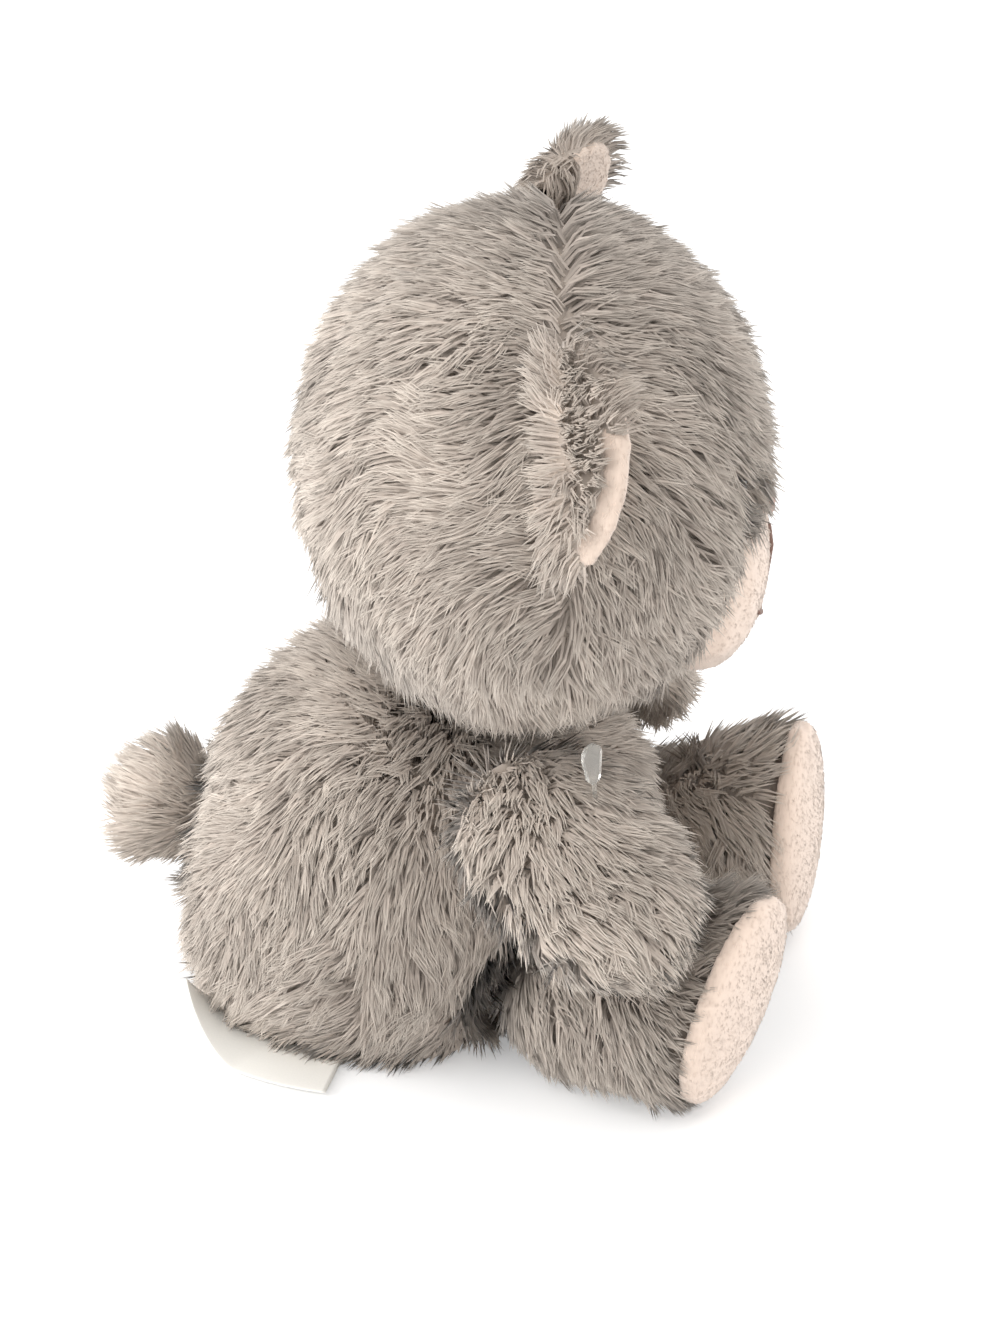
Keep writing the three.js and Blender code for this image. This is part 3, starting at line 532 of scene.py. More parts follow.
def combed(roots, normals, flow, hair, area, press, rng):
    """Each tuft's bend and tip, in locks that gather and lean one way, and how pale the lock is."""
    count = len(roots)
    leaders = rng.choice(count, int(area * hair["locks"]), replace=False)
    tree = KDTree(len(leaders))
    for number, leader in enumerate(leaders):
        tree.insert(roots[leader], number)
    tree.balance()
    lock = np.array([tree.find(root)[1] for root in roots])
    way = unit(flow(roots))
    comb = way - normals * (way * normals).sum(1, keepdims=True)
    steady = np.clip(np.linalg.norm(comb, axis=1) / WHORL, 0, 1)
    comb = unit(comb)
    side = np.cross(normals, comb)
    stray = rng.normal(0, hair["untidy"], len(leaders))[lock] + rng.normal(0, hair["untidy"] / 3, count)
    stray = (stray + STRAY_DRIFT * drift(roots, STRAY_PATCH, rng))[:, None]
    comb = comb * np.cos(stray) + side * np.sin(stray)
    lean = rng.normal(0, LOCK_LEAN, len(leaders))[lock] + rng.normal(0, TUFT_LEAN, count)
    leans = (steady * hair["root_lean"] + lean, steady * hair["tip_lean"] + TIP_STRAYS * lean)
    root_lean, tip_lean = (((1 - press) * part + press * PRESSED_LEAN)[:, None] for part in leans)
    length = 1 + LENGTH_DRIFT * drift(roots, LENGTH_PATCH, rng) + rng.normal(0, LENGTH_NOISE, count)
    length = hair["length"] * length[:, None]
    bend = roots + BEND_AT * length * (normals * np.cos(root_lean) + comb * np.sin(root_lean))
    tip = bend + (1 - BEND_AT) * length * (normals * np.cos(tip_lean) + comb * np.sin(tip_lean))
    bend += BEND_GATHER * hair["gather"] * (bend[leaders][lock] - bend)
    tip += hair["gather"] * (tip[leaders][lock] - tip)
    pale = rng.random(len(leaders))[lock]
    return bend, tip, pale


def tuft_mesh(name, roots, bends, tips, normals, tones, hair, rng):
    """Closed three-sided tufts that bend once. Their map runs from root to tip, by tone across."""
    count = len(roots)
    turn = rng.uniform(0, 2 * math.pi, count)[:, None]
    rings, facing = [], []
    for centre, along, thick in ((roots, bends - roots, 1), (bends, tips - roots, BEND_WIDTH)):
        along = unit(along)
        across = unit(np.cross(along, normals + 0.01 * along[:, [1, 2, 0]]))
        other = np.cross(along, across)
        for third in range(3):
            angle = turn + third * 2 * math.pi / 3
            facing.append(across * np.cos(angle) + other * np.sin(angle))
            rings.append(centre + hair["width"] * thick * facing[-1])
    points = np.stack([*rings, tips], 1)
    facing = np.stack([*facing, unit(tips - bends)], 1)
    facing = unit((1 - hair["softness"]) * facing + hair["softness"] * normals[:, None])
    sides = [(i, (i + 1) % 3, (i + 1) % 3 + 3, i + 3) for i in range(3)]
    ends = [(i + 3, (i + 1) % 3 + 3, 6) for i in range(3)]
    shape = [*sides, *ends, (2, 1, 0)]
    across = {4: (-1, 1, 1, -1), 3: (-1, 1, 0)}
    above = [(0, 0, BEND_AT, BEND_AT)] * 3 + [(BEND_AT, BEND_AT, 1)] * 3 + [(0, 0, 0.02)]
    corners = np.array([corner for face in shape for corner in face])
    starts = np.cumsum([0, *(len(face) for face in shape)])
    spread = np.array([u for face in shape for u in across[len(face)]]) * TUFT_COLUMN / 2
    height = np.array([v for face in above for v in face])
    step = np.arange(count)[:, None]
    each = points.shape[1]
    mesh = bpy.data.meshes.new(name)
    mesh.vertices.add(count * each)
    mesh.loops.add(count * len(corners))
    mesh.polygons.add(count * len(shape))
    mesh.vertices.foreach_set("co", points.astype(np.float32).ravel())
    mesh.loops.foreach_set("vertex_index", (step * each + corners).astype(np.int32).ravel())
    mesh.polygons.foreach_set("loop_start", (step * len(corners) + starts[:-1]).astype(np.int32).ravel())
    lay = mesh.uv_layers.new(name=TUFT_MAP)
    places = np.stack([tones[:, None] + spread, np.broadcast_to(height, (count, len(height)))], 2)
    lay.data.foreach_set("uv", places.astype(np.float32).ravel())
    mesh.update(calc_edges=True)
    mesh.shade_smooth()
    mesh.normals_split_custom_set_from_vertices(facing.reshape(-1, 3))
    return mesh


def pile_finish(name, stops, sheen, grain=0):
    """Pile fabric: coloured from root to tip along each tuft, in a tone that differs between tufts."""
    constants = {"Sheen Weight": sheen, "Sheen Roughness": 0.6, "Specular IOR Level": 0.2}
    material, place = new_finish(name, constants)
    lay = place.node("UVMap", {"uv_map": TUFT_MAP}, {})
    tone = place.node("SeparateXYZ", {}, {"Vector": lay}, "X")
    along = place.node("SeparateXYZ", {}, {"Vector": lay}, "Y")
    stops = [(share, linear(*colour)) for share, colour in stops]
    hair = along.node("ValToRGB", {"stops": stops}, {"Fac": along}, "Color")
    hair.tinted(tone.mixed(DARKEST_TUFT, PALEST_TUFT)).feeds("Base Color")
    (ROOT_ROUGHNESS - TIP_GLOSS * along).feeds("Roughness")
    if grain:
        place.noise(0.7 / grain, Detail=3).bumps(0.06, grain)
    return material


fur_stops = [(0, FUR_ROOT), (0.3, FUR_SHADE), (0.65, FUR_HAIR), (1, FUR_TIP)]
grey_fur = (pile_finish("fur_pile", fur_stops, 0.15), "grey_fur")


def piled(name, node, body, skin, chosen, cloth, flow, hair, finish, seed, bald=None):
    """A piece of pile fabric: its cloth, and tufts combed over the chosen faces of a skin.

    No tuft stands in a bald place or reaches into one.
    """
    rng = np.random.default_rng(seed)
    roots, normals, area = scattered(skin, chosen, hair["density"], rng)
    press = hair["yields"] * pressed(body, roots)
    if body in GATHERED:
        press -= (1 + press) * NECK_LIFT * lifted(roots)
    bends, tips, pale = combed(roots, normals, flow, hair, area, press, rng)
    if bald:
        kept = ~(bald(roots) | bald(tips))
        tufts = (roots, normals, bends, tips, pale)
        roots, normals, bends, tips, pale = (values[kept] for values in tufts)
    for points in (bends, tips):
        points[:, 2] = np.maximum(points[:, 2], hair["width"])
    tones = hair["tone"] + TONE_DRIFT * drift(roots, TONE_PATCH, rng) + PALE_LOCKS * pale**PALE_RARITY
    tones += rng.normal(0, TONE_NOISE, len(roots))
    # Painted light: the pile is paler towards the bottom of each piece.
    level = (roots[:, 2] - roots[:, 2].min()) / (PAINTED_LOW_LIGHT_SHARE * np.ptp(roots[:, 2]))
    tones += hair["painted_low_light"] * np.clip(1 - level, 0, 1)
    tones = np.clip(tones, 2 * TUFT_COLUMN, 1 - 2 * TUFT_COLUMN)
    sunk = roots - normals * hair["width"]
    mesh = tuft_mesh(name, sunk, bends, tips, normals, tones, hair, rng)
    pile = bpy.data.objects.new(name, mesh)
    bpy.context.collection.objects.link(pile)
    cloth.data.shade_smooth()
    pick(pile, cloth)
    bpy.ops.object.join()
    pile.data.materials.clear()
    material, slot = finish
    pile.data.materials.append(material)
    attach(pile, body)
    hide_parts(node)


def fur_panel(panel, body, skin, chosen, flow, hair, seed, bald=None):
    """One panel of the fur: its share of a stuffed skin as backing, with pile combed over it."""
    cloth = backing(f"{panel}_backing", skin, chosen)
    piled(f"{panel}_fur", panel, body, skin, chosen, cloth, flow, hair, grey_fur, seed, bald)


def constant(*direction):
    """A comb that runs one way everywhere."""
    return lambda points: np.broadcast_to(np.array(direction, float), points.shape)


TORSO_PANELS = ["torso_front_panel", "torso_back_left_panel", "torso_back_right_panel", "seat_panel"]
SEAT_PILE = {**PILE, "length": 0.006, "root_lean": 0.9, "tip_lean": 1.35, "softness": 0.35}
torso_crown = middle_of("neck_stitching") - (0, CROWN_FORWARD, 0)


def torso_comb(points):
    """Out from a crown at the neck, and down."""
    return (points - torso_crown) * (NECK_FLARE, NECK_FLARE, 0) - (0, 0, 1)


def seat_comb(points):
    """Out all round from under the torso."""
    return points * (1, 1, 0)


torso_skin = stuffed_skin("torso_skin", [*TORSO_PANELS, "torso_stuffing"], BACKING_DEPTH)
torso_share = nearest_panel(torso_skin, TORSO_PANELS)
for number, panel in enumerate(TORSO_PANELS):
    hair, flow = (SEAT_PILE, seat_comb) if panel == "seat_panel" else (PILE, torso_comb)
    fur_panel(panel, "torso", torso_skin, torso_share == number, flow, hair, TORSO_SEED + number)
bpy.data.objects.remove(torso_skin)

# Neck stitching: a ring of strong three-ply thread that joins the head to the torso.
# It is taken round the head's opening and the torso's top, and drawn tight.
THREAD_BROWN = (110, 102, 95)
THREAD_FUZZ = 2500
THREAD_PLIES = 3
PLY_RADIUS = 0.54
PLY_OFFSET = 0.46
NECK_THREAD = 0.0008
NECK_TWIST = 0.0045
NECK_STEPS = 181
joints = {joint["child"]: joint for joint in frame["joints"]}
pivots = {body: np.array(joint["pos_m"]) for body, joint in joints.items()}


def thread_finish(name, colour):
    """Fuzzy spun thread."""
    material, place = new_finish(name, {"Roughness": 0.8, "Sheen Weight": 0.3})
    fuzz = place.noise(THREAD_FUZZ, Detail=3)
    fuzz.mottles(colour, 0.8)
    fuzz.bumps(0.4, 0.0002)
    return material


def thread(name, node, body, paths, radius, twist, finish):
    """Twisted thread along paths. Each path is a row of points and the outward direction at each."""
    curve = bpy.data.curves.new(name, "CURVE")
    curve.dimensions = "3D"
    curve.bevel_depth = PLY_RADIUS * radius
    curve.bevel_resolution = 1
    curve.use_fill_caps = True
    for points, outward in paths:
        steps = np.linalg.norm(np.diff(points, axis=0, prepend=points[:1]), axis=1)
        tangent = unit(np.gradient(points, axis=0))
        side = np.cross(tangent, outward)
        for ply in range(THREAD_PLIES):
            angle = (2 * math.pi * (np.cumsum(steps) / twist + ply / THREAD_PLIES))[:, None]
            places = points + PLY_OFFSET * radius * (outward * np.cos(angle) + side * np.sin(angle))
            spline = curve.splines.new("POLY")
            spline.points.add(len(places) - 1)
            spline.points.foreach_set("co", np.column_stack([places, np.ones(len(places))]).ravel())
    made = bpy.data.objects.new(name, curve)
    bpy.context.collection.objects.link(made)
    pick(made)
    bpy.ops.object.convert(target="MESH")
    made = bpy.context.object
    made.data.shade_smooth()
    made.data.materials.clear()
    made.data.materials.append(finish)
    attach(made, body)
    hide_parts(node)


brown_thread = thread_finish("thread", THREAD_BROWN)
ring = numbers(nodes["neck_stitching"].data.vertices, "co", 3)
ring_axis = unit(np.array(joints["neck"]["axis"]))
ring_middle = ring.mean(0)
ring_radius = np.linalg.norm(ring - ring_middle, axis=1).mean()
ring_turn = np.linspace(0, 2 * math.pi, NECK_STEPS)[:, None]
ring_side = unit(np.cross(ring_axis, (0, 1, 0)))
ring_out = np.cos(ring_turn) * ring_side + np.sin(ring_turn) * np.cross(ring_axis, ring_side)
neck_path = [(ring_middle + ring_radius * ring_out, ring_out)]
thread("neck_thread", "neck_stitching", "neck", neck_path, NECK_THREAD, NECK_TWIST, brown_thread)

# Head cover: a face panel and two back panels of the same fur, closed round the ball of filling.
# The ear-to-ear seam parts the pile: the face is combed forward, and the back of the head back and down.
HEAD_PANELS = ["face_panel", "head_back_left_panel", "head_back_right_panel"]
EYE_CLEARING = 0.0062
COMB_FADE = 0.03
COMB_BACKWARD = 0.15
COMB_DROP = 1.05
COMB_RISE = 0.7
HEAD_SEED = 200
# Painted shade and light: the face's pile is a darker tone, as painted shade, and the back's a paler one, paler
# still low down, as painted light from the left.
FACE_PILE = {**PILE, "tone": 0.3, "yields": 0.0}
NAPE_PILE = {**PILE, "tone": 0.4, "painted_low_light": 0.55, "yields": 0.0}
head_across = unit(middle_of("left_eye") - middle_of("right_eye"))
head_back = unit(np.cross((0, 0, 1), head_across))
head_middle = middle_of("head_stuffing")
head_skin = stuffed_skin("head_skin", [*HEAD_PANELS, "head_stuffing"], BACKING_DEPTH)
head_share = nearest_panel(head_skin, [*HEAD_PANELS, "muzzle_panel"])


def around(radius, *spots):
    """A bald place: all that lies within a distance of any of these spots."""
    def near(points):
        return np.any([np.linalg.norm(points - spot, axis=1) < radius for spot in spots], axis=0)
    return near


def head_comb(way, points):
    """Away from the ear-to-ear seam on top of the head, and more and more downwards below it."""
    level = np.clip(0.5 + (points[:, 2:] - head_middle[2]) / (2 * COMB_FADE), 0, 1)
    sweep = way * level + COMB_BACKWARD * head_back
    return sweep - np.array((0, 0, COMB_DROP)) + (0, 0, COMB_RISE) * level


clearings = around(EYE_CLEARING, *(middle_of(f"{side}_eye") for side in ("right", "left")))
for number, panel in enumerate(HEAD_PANELS):
    hair, way = (FACE_PILE, -head_back) if panel == "face_panel" else (NAPE_PILE, head_back)
    flow = partial(head_comb, way)
    fur_panel(panel, "head", head_skin, head_share == number, flow, hair, HEAD_SEED + number, clearings)
bpy.data.objects.remove(head_skin)

# Muzzle: a padded cap of cream velour, a knitted cloth with a short soft nap.
# It is let into the face panel and sewn to it all round.
VELOUR_ROOT = (237, 215, 199)
VELOUR_TIP = (241, 221, 205)
VELOUR_VOXEL = 0.0011
VELOUR_GRAIN = 0.0006
VELOUR_SHADE = 0.3
NOSE_CLEARING = 0.0045
MUZZLE_ROUNDING = 16
MUZZLE_SEED = 250
NAP = {
    "length": 0.0007,
    "width": 0.00007,
    "density": 1.6e6,
    "locks": 0.5e6,
    "gather": 0.1,
    "root_lean": 1.1,
    "tip_lean": 1.35,
    "untidy": 0.4,
    "tone": 0.55,
    "painted_low_light": 0.0,
    "softness": 0.9,
    "yields": 0.0,
}
velour_nap = pile_finish("velour_nap", [(0, VELOUR_ROOT), (1, VELOUR_TIP)], 0.4, VELOUR_GRAIN)
cream_velour = (velour_nap, "cream_velour")


def velour_piece(name, node, body, inside, seed, rounding, bald=None):
    """A smooth padded piece of velour with nap on the side that faces away from a point inside."""
    base = remeshed(copy_of(name, node), VELOUR_VOXEL)
    smoothed(base, rounding)
    one_tone(base.data, NAP["tone"], VELOUR_SHADE)
    facing = numbers(base.data.polygons, "normal", 3)
    chosen = (facing * (numbers(base.data.polygons, "center", 3) - inside)).sum(1) > 0
    base.name = f"{name}_base"
    piled(name, node, body, base, chosen, base, constant(0, 0, -1), NAP, cream_velour, seed, bald)


by_nose = around(NOSE_CLEARING, middle_of("nose"))
velour_piece("muzzle_velour", "muzzle_panel", "head", head_middle, MUZZLE_SEED, MUZZLE_ROUNDING, by_nose)

# Eyes and nose: buttons of moulded plastic, the eyes glossy brown and the nose a satin rose.
# Their stems go through the cloth and lock into washers behind it.
EYE_BROWN = (64, 36, 20)
PUPIL = (9, 7, 6)
PUPIL_RADIUS = 0.0031
NOSE_ROSE = (178, 138, 124)
NOSE_GRAIN = 3500
BUTTON_VOXEL = 0.0004
BUTTON_ROUNDING = 16
WASHER_WHITE = (220, 220, 218)
WASHER_FLOW = 220


def button_piece(name, node, finish):
    """A button on the head, with its moulded edges rounded."""
    made = remeshed(copy_of(name, node), BUTTON_VOXEL)
    smoothed(made, BUTTON_ROUNDING)
    made.data.shade_smooth()
    made.data.materials.append(finish)
    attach(made, "head")
    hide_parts(node)


for side in ("right", "left"):
    eye_points = numbers(nodes[f"{side}_eye"].data.vertices, "co", 3)
    eye_out = unit(middle_of(f"{side}_eye") - middle_of(f"{side}_eye_washer"))
    apex = eye_points[np.argmax(eye_points @ eye_out)]
    iris, place = new_finish(f"{side}_eye_plastic", {"Roughness": 0.08, "Specular IOR Level": 0.4})
    away = place.node("VectorMath", {"operation": "DISTANCE"}, {0: place, 1: tuple(apex)}, "Value")
    inside = away.maths("LESS_THAN", away, PUPIL_RADIUS)
    inside.mixed(linear(*EYE_BROWN), linear(*PUPIL)).feeds("Base Color")
    button_piece(f"{side}_eye_button", f"{side}_eye", iris)
satin, place = new_finish("nose_plastic", {"Roughness": 0.42})
grain = place.noise(NOSE_GRAIN)
grain.mottles(NOSE_ROSE, 0.94)
grain.bumps(0.15, 0.0001)
button_piece("nose_button", "nose", satin)
moulded, place = new_finish("washer_plastic", {"Roughness": 0.5})
place.noise(WASHER_FLOW).mottles(WASHER_WHITE, 0.95)
for washer in ("right_eye_washer", "left_eye_washer", "nose_washer"):
    nodes[washer].material_slots[0].material = moulded

# Mouth: one stitch down from the nose that parts into two curves.
# It is embroidered into the velour with the same twisted thread, in a lighter brown.
MOUTH_BROWN = (146, 116, 104)
MOUTH_RADIUS = 0.0005
MOUTH_TWIST = 0.0026
MOUTH_LIFT = 0.0001
MOUTH_STEPS = 70
MOUTH_ENDS = 0.9


def on_muzzle(across, above):
    """Points on the front of the muzzle, by metres to the side of the head's middle and above it."""
    mesh = nodes["muzzle_panel"].data
    faces = [tuple(face.vertices) for face in mesh.polygons]
    tree = BVHTree.FromPolygons([v.co for v in mesh.vertices], faces)
    starts = head_middle + np.outer(across, head_across) + np.outer(above, (0, 0, 1)) - head_back
    hits = [tree.ray_cast(Vector(start), Vector(head_back)) for start in starts]
    outward = np.array([hit[1] for hit in hits])
    return np.array([hit[0] for hit in hits]) + MOUTH_LIFT * outward, unit(outward)


mouth = numbers(nodes["mouth_stitch"].data.vertices, "co", 3) - head_middle
mouth_across, mouth_above = mouth @ head_across, mouth[:, 2]
mouth_half = np.abs(mouth_across).max()
mouth_top = mouth_above.max()
mouth_corner = mouth_above[np.abs(mouth_across) > MOUTH_ENDS * mouth_half].mean()
mouth_low = mouth_above.min() + MOUTH_RADIUS
share = np.linspace(-1, 1, MOUTH_STEPS)
smile = on_muzzle(share * mouth_half, mouth_low + (mouth_corner - mouth_low) * share**2)
stitch = on_muzzle(np.zeros(MOUTH_STEPS), np.linspace(mouth_top, mouth_low, MOUTH_STEPS))
mouth_thread = thread_finish("mouth_thread", MOUTH_BROWN)
mouth_paths = [smile, stitch]
thread("mouth_thread", "mouth_stitch", "head", mouth_paths, MOUTH_RADIUS, MOUTH_TWIST, mouth_thread)

# Ears: a dished disc of velour in front and fur behind, sewn together and let into the ear-to-ear seam.
# The velour is rolled over the rim, and the fur at the top stands up past it.
EAR_VOXEL = 0.0011
EAR_CLOTH = 0.0003
EAR_DISH = 0.0026
EAR_BACK_SHARE = 0.6
EAR_RIM = 0.76
EAR_ROOT = -0.3
EAR_LET_IN = 0.08
EAR_ROLL = {"right": 0.25, "left": -0.6}
EAR_ROLL_START = 0.2
EAR_SEAM = 0.25
EAR_SEAM_FOLD = 2
EAR_HIDDEN = -0.8
EAR_COMB_TURN = 0.6
EAR_COMB_OUT = 0.8
EAR_COMB_RISE = 0.6
EAR_PILE = {**PILE, "length": 0.0056, "width": 0.00026, "tone": 0.25, "softness": 0.5, "yields": 0.2}
LINING_SEED = 260
EAR_BACK_SEED = 270


def ear_comb(root, middle, out, front, half, points):
    """Up and over the rim at the top of an ear, down below, and over the seam at its root."""
    level = np.clip(EAR_COMB_TURN + (points[:, 2:] - middle[2]) / (2 * half[1]), 0, 1)
    upward = front + EAR_COMB_OUT * out + (0, 0, EAR_COMB_RISE)
    sweep = level * upward - (1 - level) * np.array((0, 0, 1))
    seam = np.clip(1 - (points - root) @ out / (EAR_SEAM * half[0]), 0, 1)[:, None]
    return (1 - seam) * sweep - EAR_SEAM_FOLD * seam * out


for side in ("right", "left"):
    lining, back, body = f"{side}_ear_lining", f"{side}_ear_back", f"{side}_ear"
    ear = remeshed(copy_of(f"{side}_ear_skin", lining, back), EAR_VOXEL)
    smoothed(ear, CLOTH_ROUNDING)
    lining_middle, back_middle = (numbers(nodes[n].data.vertices, "co", 3).mean(0) for n in (lining, back))
    ear_front = unit(lining_middle - back_middle)
    ear_out = (lining_middle + back_middle) / 2 - pivots[body]
    ear_out = unit(ear_out - ear_front * (ear_out @ ear_front))
    ear_axes = np.stack([ear_out, np.cross(ear_front, ear_out), ear_front])
    local = (numbers(ear.data.vertices, "co", 3) - pivots[body]) @ ear_axes.T
    ear_half = np.abs(local).max(0)
    rim = np.hypot(local[:, 0] / ear_half[0], local[:, 1] / ear_half[1])
    dish = EAR_DISH * np.clip(1 - rim**2, 0, 1)
    local[:, 2] = np.where(local[:, 2] > 0, local[:, 2] - dish, local[:, 2] * EAR_BACK_SHARE)
    ear.data.vertices.foreach_set("co", (local @ ear_axes + pivots[body]).ravel())
    ear.data.update()
    middles = (numbers(ear.data.polygons, "center", 3) - pivots[body]) @ ear_axes.T
    ear_normals = numbers(ear.data.polygons, "normal", 3) @ ear_axes.T
    rim = np.hypot(middles[:, 0] / ear_half[0], middles[:, 1] / ear_half[1])
    ear_middle = pivots[body] + ear_out * ear_half[0] / 2
    below = numbers(ear.data.polygons, "center", 3)[:, 2] < ear_middle[2] + EAR_ROLL[side] * ear_half[1]
    rolled = (rim > EAR_RIM) & below & (middles[:, 0] > EAR_ROLL_START * ear_half[0])
    velour = (ear_normals[:, 2] > 0) | rolled
    velour &= (ear_normals[:, 0] > EAR_ROOT) & (middles[:, 0] > EAR_LET_IN * ear_half[0])
    front_cloth = backing(f"{lining}_cloth", ear, velour, EAR_CLOTH)
    back_cloth = backing(f"{back}_cloth", ear, ~velour, EAR_CLOTH)
    hang = constant(0, 0, -1)
    piled(f"{lining}_velour", lining, body, ear, velour, front_cloth, hang, NAP, cream_velour, LINING_SEED)
    outside = ~velour & (ear_normals[:, 0] > EAR_HIDDEN)
    flow = partial(ear_comb, pivots[body], ear_middle, ear_out, ear_front, ear_half)
    piled(f"{back}_fur", back, body, ear, outside, back_cloth, flow, EAR_PILE, grey_fur, EAR_BACK_SEED)
    bpy.data.objects.remove(ear)

# Arms and legs: flat mittens and soft cones of two fur panels each, sewn round the edge and stuffed.
# The pile runs from the shoulder to the paw, and down and forward over the legs to the soles.
LIMB_DEPTH = 0.0034
LIMB_VOXEL = 0.0024
LIMB_SEEDS = {"right": (321, 331), "left": (320, 330)}
ARM_CROWN = 0.5
ARM_HANG = 0.006
LEG_DROP = 0.9
SOLE_EDGE = 0.022
LIMB_PILE = {**PILE, "density": 3e6, "painted_low_light": 0.3}
# Painted light and shade: each limb's pile has its own tone, paler on the arms and palest on the left leg, as
# painted light where they lie in shade, and darkest on the right leg, as painted shade under the arm.
LIMB_PAINTED_LIGHT = {"right_arm": 0.72, "left_arm": 0.6, "right_leg": 0.1, "left_leg": 0.9}
PADDLE_CLEARING = 0.0042
PADDLE_SPOTS = (0.6, 0.85)
paddle_low, paddle_high = (np.array(corner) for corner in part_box("tag_pin"))
paddle = (paddle_low + (paddle_high - paddle_low) * (0.5, 0.5, share) for share in PADDLE_SPOTS)


def away_from(crown, points):
    """Out from a crown inside the shoulder, and a little down."""
    return points - crown - (0, 0, ARM_HANG)


def towards_sole(sole, forward, points):
    """Forward and down over the leg, and straight forward over the sole's edge."""
    near = np.clip(1 - (sole - points) @ forward / SOLE_EDGE, 0, 1)[:, None]
    return forward - (0, 0, LEG_DROP) * (1 - near)


def past_sole(sole, inside):
    """A bald place: all that lies past the middle of a sole's thickness."""
    corners = numbers(nodes[sole].data.vertices, "co", 3)
    middle = corners.mean(0)
    through = np.linalg.svd(corners - middle, full_matrices=False)[2][2]
    through *= np.sign((middle - inside) @ through)
    return lambda points: (points - middle) @ through > 0


bald = {"right_arm": around(PADDLE_CLEARING, *paddle)}
for side in ("right", "left"):
    bald[f"{side}_leg"] = past_sole(f"{side}_sole", pivots[f"{side}_leg"])
    for limb, velour in (("arm", []), ("leg", [f"{side}_sole"])):
        body = f"{side}_{limb}"
        panels = [f"{body}_outer_panel", f"{body}_inner_panel"]
        skin = stuffed_skin(f"{body}_skin", [*panels, f"{body}_stuffing", *velour], LIMB_DEPTH, LIMB_VOXEL)
        limb_share = nearest_panel(skin, [*panels, *velour])
        cut_away(skin, limb_share == len(panels))
        limb_share = limb_share[limb_share < len(panels)]
        along = (middle_of(panels[0]) + middle_of(panels[1])) / 2 - pivots[body]
        flow = partial(away_from, pivots[body] - ARM_CROWN * along)
        if limb == "leg":
            flow = partial(towards_sole, middle_of(velour[0]) * (1, 1, 0), unit(along * (1, 1, 0)))
        hair = {**LIMB_PILE, "tone": LIMB_PAINTED_LIGHT[body]}
        for number, panel in enumerate(panels):
            seed = LIMB_SEEDS[side][number]
            fur_panel(panel, body, skin, limb_share == number, flow, hair, seed, bald.get(body))
        bpy.data.objects.remove(skin)

# Soles: oval pads of the same velour as the muzzle, with their nap outside.
# Each is sewn over the open end of a foot, and the pile of the leg reaches to its edge.
SOLE_ROUNDING = 6
SOLE_SEED = 350
for side in ("right", "left"):
    sole, body = f"{side}_sole", f"{side}_leg"
    velour_piece(f"{sole}_velour", sole, body, pivots[body], SOLE_SEED, SOLE_ROUNDING)

# Tail: two small fur panels over a ball of filling, sewn into the back seam.
# Its pile stands out all round from the root.
TAIL_PANELS = ["tail_left_panel", "tail_right_panel"]
TAIL_DEPTH = 0.003
TAIL_SEED = 400
# Painted light: the tail's pile is a pale tone, as if lit from the left.
TAIL_PILE = {**PILE, "length": 0.0075, "root_lean": 0.4, "tip_lean": 0.85, "tone": 0.9, "softness": 0.8}
tail_skin = stuffed_skin("tail_skin", [*TAIL_PANELS, "tail_stuffing"], TAIL_DEPTH, LIMB_VOXEL)
tail_share = nearest_panel(tail_skin, TAIL_PANELS)
tail_along = constant(*unit(middle_of("tail_stuffing") - pivots["tail"]))
for number, panel in enumerate(TAIL_PANELS):
    fur_panel(panel, "tail", tail_skin, tail_share == number, tail_along, TAIL_PILE, TAIL_SEED + number)
bpy.data.objects.remove(tail_skin)

# Seam label: a blank strip of satin ribbon, folded double.
# Its cut ends are caught in the seat seam, and its loose edge lies on the floor and curls up at one end.
LABEL_WHITE = (250, 247, 240)
LABEL_CLOTH = 0.00022
LABEL_LAYERS = 0.0006
LABEL_CURL = 0.0095
LABEL_CURL_POWER = 1.3
LABEL_FOLD_POWER = 0.7
LABEL_TUCK = 0.3
LABEL_START = 0.06
LABEL_SEAM = 0.005
LABEL_ALONG = 48
LABEL_ACROSS = 24
LABEL_REST = 0.0005
LABEL_WEAVE = 2600
label_points = numbers(nodes["seam_label"].data.vertices, "co", 3)
label_middle = middle_of("seat_panel") * (1, 1, 0)
label_reach = np.hypot(*(label_points - label_middle)[:, :2].T)
label_turn = np.arctan2(*(label_points - label_middle)[:, 1::-1].T) % (2 * math.pi)
outer = label_reach > (label_reach.min() + label_reach.max()) / 2
by_turn = np.argsort(label_turn)
turn = np.linspace(label_turn.min() + LABEL_START, label_turn.max(), LABEL_ALONG)
inner_order, outer_order = by_turn[~outer[by_turn]], by_turn[outer[by_turn]]
inner_reach, outer_reach = (
    np.interp(turn, label_turn[order], label_reach[order]) for order in (inner_order, outer_order)
)
inner_reach -= LABEL_SEAM
bpy.ops.object.select_all(action="DESELECT")
bpy.ops.mesh.primitive_grid_add(x_subdivisions=LABEL_ALONG - 1, y_subdivisions=LABEL_ACROSS - 1, size=1)
label = bpy.context.object
label.name = label.data.name = "seam_label_ribbon"
round_trip = np.linspace(0, math.pi, LABEL_ACROSS)[:, None]
out_share = np.sin(round_trip) ** LABEL_FOLD_POWER
curl = np.clip(1 - 2 * np.linspace(0, 1, LABEL_ALONG), 0, 1) ** LABEL_CURL_POWER * out_share
reach = inner_reach + (outer_reach - inner_reach) * out_share * (1 - LABEL_TUCK * curl)
lift = LABEL_REST + LABEL_LAYERS * (1 - np.cos(round_trip)) / 2 + LABEL_CURL * curl
ribbon = np.stack([reach * np.cos(turn), reach * np.sin(turn), lift], 2) + label_middle
label.data.vertices.foreach_set("co", ribbon.ravel())
label.data.update()
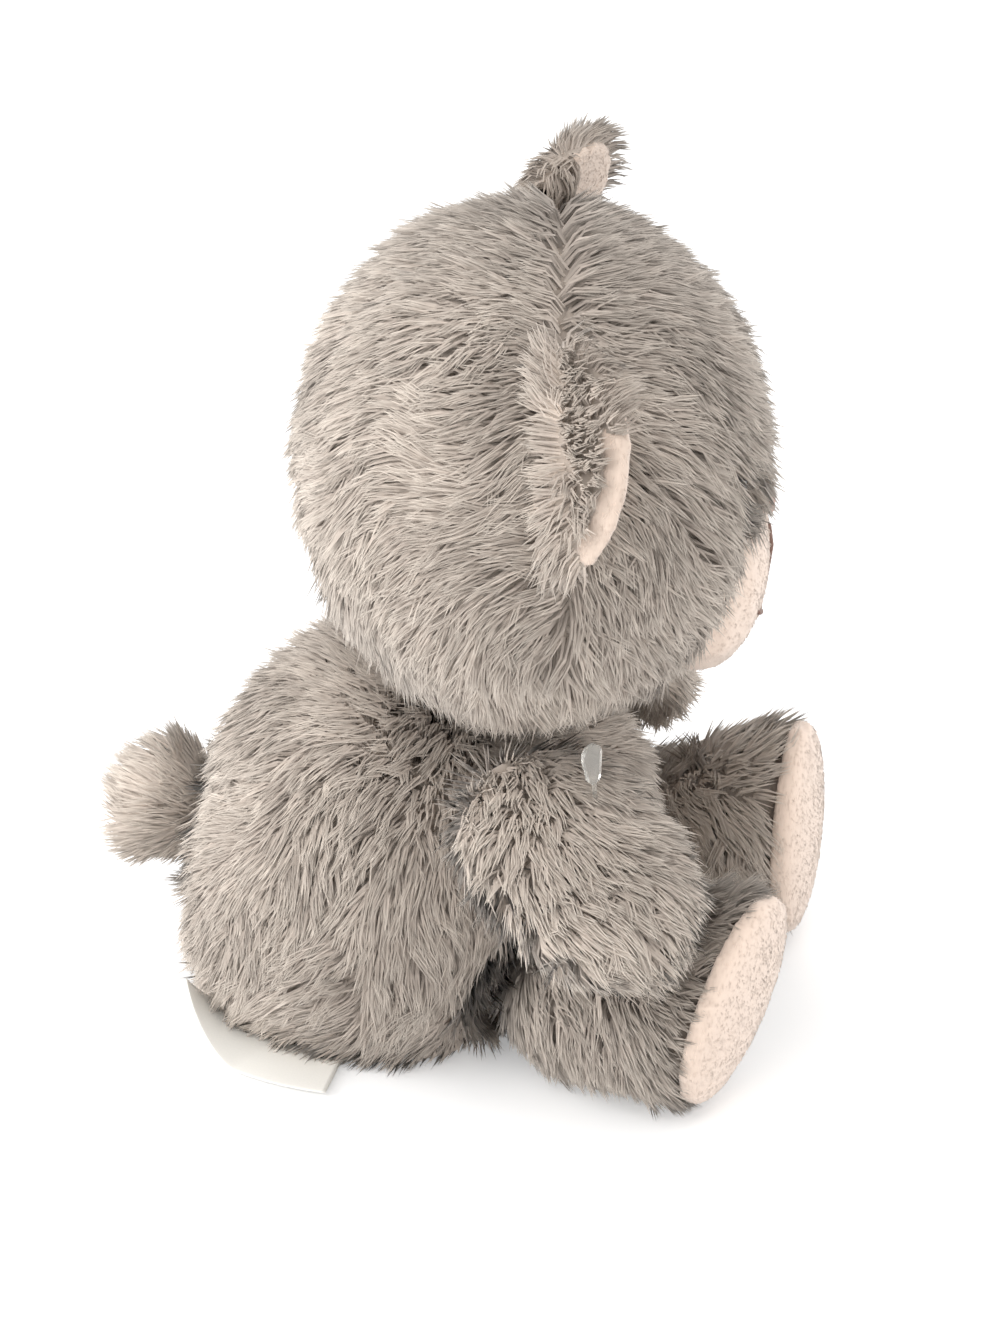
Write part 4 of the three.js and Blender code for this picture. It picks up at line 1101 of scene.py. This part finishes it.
shaped(label, "SOLIDIFY", thickness=LABEL_CLOTH, offset=0)
label.data.shade_smooth()
satin_white, place = new_finish("ribbon", {"Roughness": 0.45, "Sheen Weight": 0.2})
weave = place.noise(LABEL_WEAVE, Detail=2)
weave.mottles(LABEL_WHITE, 0.97)
weave.bumps(0.2, 0.0001)
label.data.materials.append(satin_white)
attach(label, "torso")
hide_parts("seam_label")

# Ticket pin: a paddle on a thin filament, moulded in one piece from clear nylon.
# It is shot through the cloth of the right arm and stands in the pile.
PIN_CLEAR = (238, 236, 231)
PIN_HAZE = 500
PIN_ROUGHNESS = 0.15
pin_constants = {"Transmission Weight": 0.85, "IOR": 1.4, "Base Color": linear(*PIN_CLEAR)}
clear, place = new_finish("clear_nylon", pin_constants)
haze = place.noise(PIN_HAZE)
(PIN_ROUGHNESS + PIN_ROUGHNESS * haze).feeds("Roughness")
nodes["tag_pin"].material_slots[0].material = clear

# Studio: a plain floor of pale paper under an even white surround.
# Four soft round lamps stand about it: a window on the left, a reflector on the right, one above the
# camera, and a weak one that fills the side which the camera doesn't see.
FLOOR_HALF = 1.5
FLOOR_DROP = 0.0002
PAPER = (0.86, 0.86, 0.86, 1)
PAPER_GLOW = (0.3, 0.3, 0.3, 1)
NO_GLOW = (0, 0, 0, 1)
LAMP_AIM = (0, 0, 0.07)
CAMERA_PLACE = (-0.7372, -0.1975, 0.4769)
CAMERA_AIM = (0.8569, 0.2131, -0.4741)
CAMERA_LENS = 126.9
bpy.ops.object.select_all(action="DESELECT")
bpy.ops.mesh.primitive_plane_add(size=2 * FLOOR_HALF, location=(0, 0, -FLOOR_DROP))
floor = bpy.context.object
floor.name = "floor"
paper, place = new_finish("paper", {"Base Color": PAPER, "Roughness": 0.9, "Emission Strength": 1})
rays = ("Camera", "Glossy", "Transmission")
seen = sum(place.node("LightPath", {}, {}, f"Is {ray} Ray") for ray in rays)
seen.mixed(NO_GLOW, PAPER_GLOW).feeds("Emission Color")
floor.data.materials.append(paper)

world = bpy.data.worlds.new("surround")
world.use_nodes = True
surround = world.node_tree.nodes["Background"]
surround.inputs["Color"].default_value = (1, 1, 1, 1)
surround.inputs["Strength"].default_value = 1.0
bpy.context.scene.world = world


def soft_lamp(name, place, size, power):
    """A round lamp that faces the bear."""
    lamp = bpy.data.lights.new(name, "AREA")
    lamp.shape = "DISK"
    lamp.size = size
    lamp.energy = power
    holder = bpy.data.objects.new(name, lamp)
    holder.location = place
    holder.rotation_mode = "QUATERNION"
    holder.rotation_quaternion = (Vector(LAMP_AIM) - Vector(place)).to_track_quat("-Z", "Y")
    bpy.context.collection.objects.link(holder)


soft_lamp("window", (-0.35, 0.95, 0.4), 0.9, 7)
soft_lamp("reflector", (-0.15, -1.05, 0.3), 0.9, 1.5)
soft_lamp("front", (-0.75, 0.25, 0.85), 0.8, 2.5)
soft_lamp("fill", (0.8, -0.6, 0.55), 0.9, 1.6)

camera = bpy.data.objects.new("camera", bpy.data.cameras.new("camera"))
camera.data.lens = CAMERA_LENS
camera.location = CAMERA_PLACE
camera.rotation_mode = "QUATERNION"
camera.rotation_quaternion = Vector(CAMERA_AIM).to_track_quat("-Z", "Y")
bpy.context.collection.objects.link(camera)
bpy.context.scene.camera = camera
bpy.context.scene.view_settings.view_transform = "Standard"
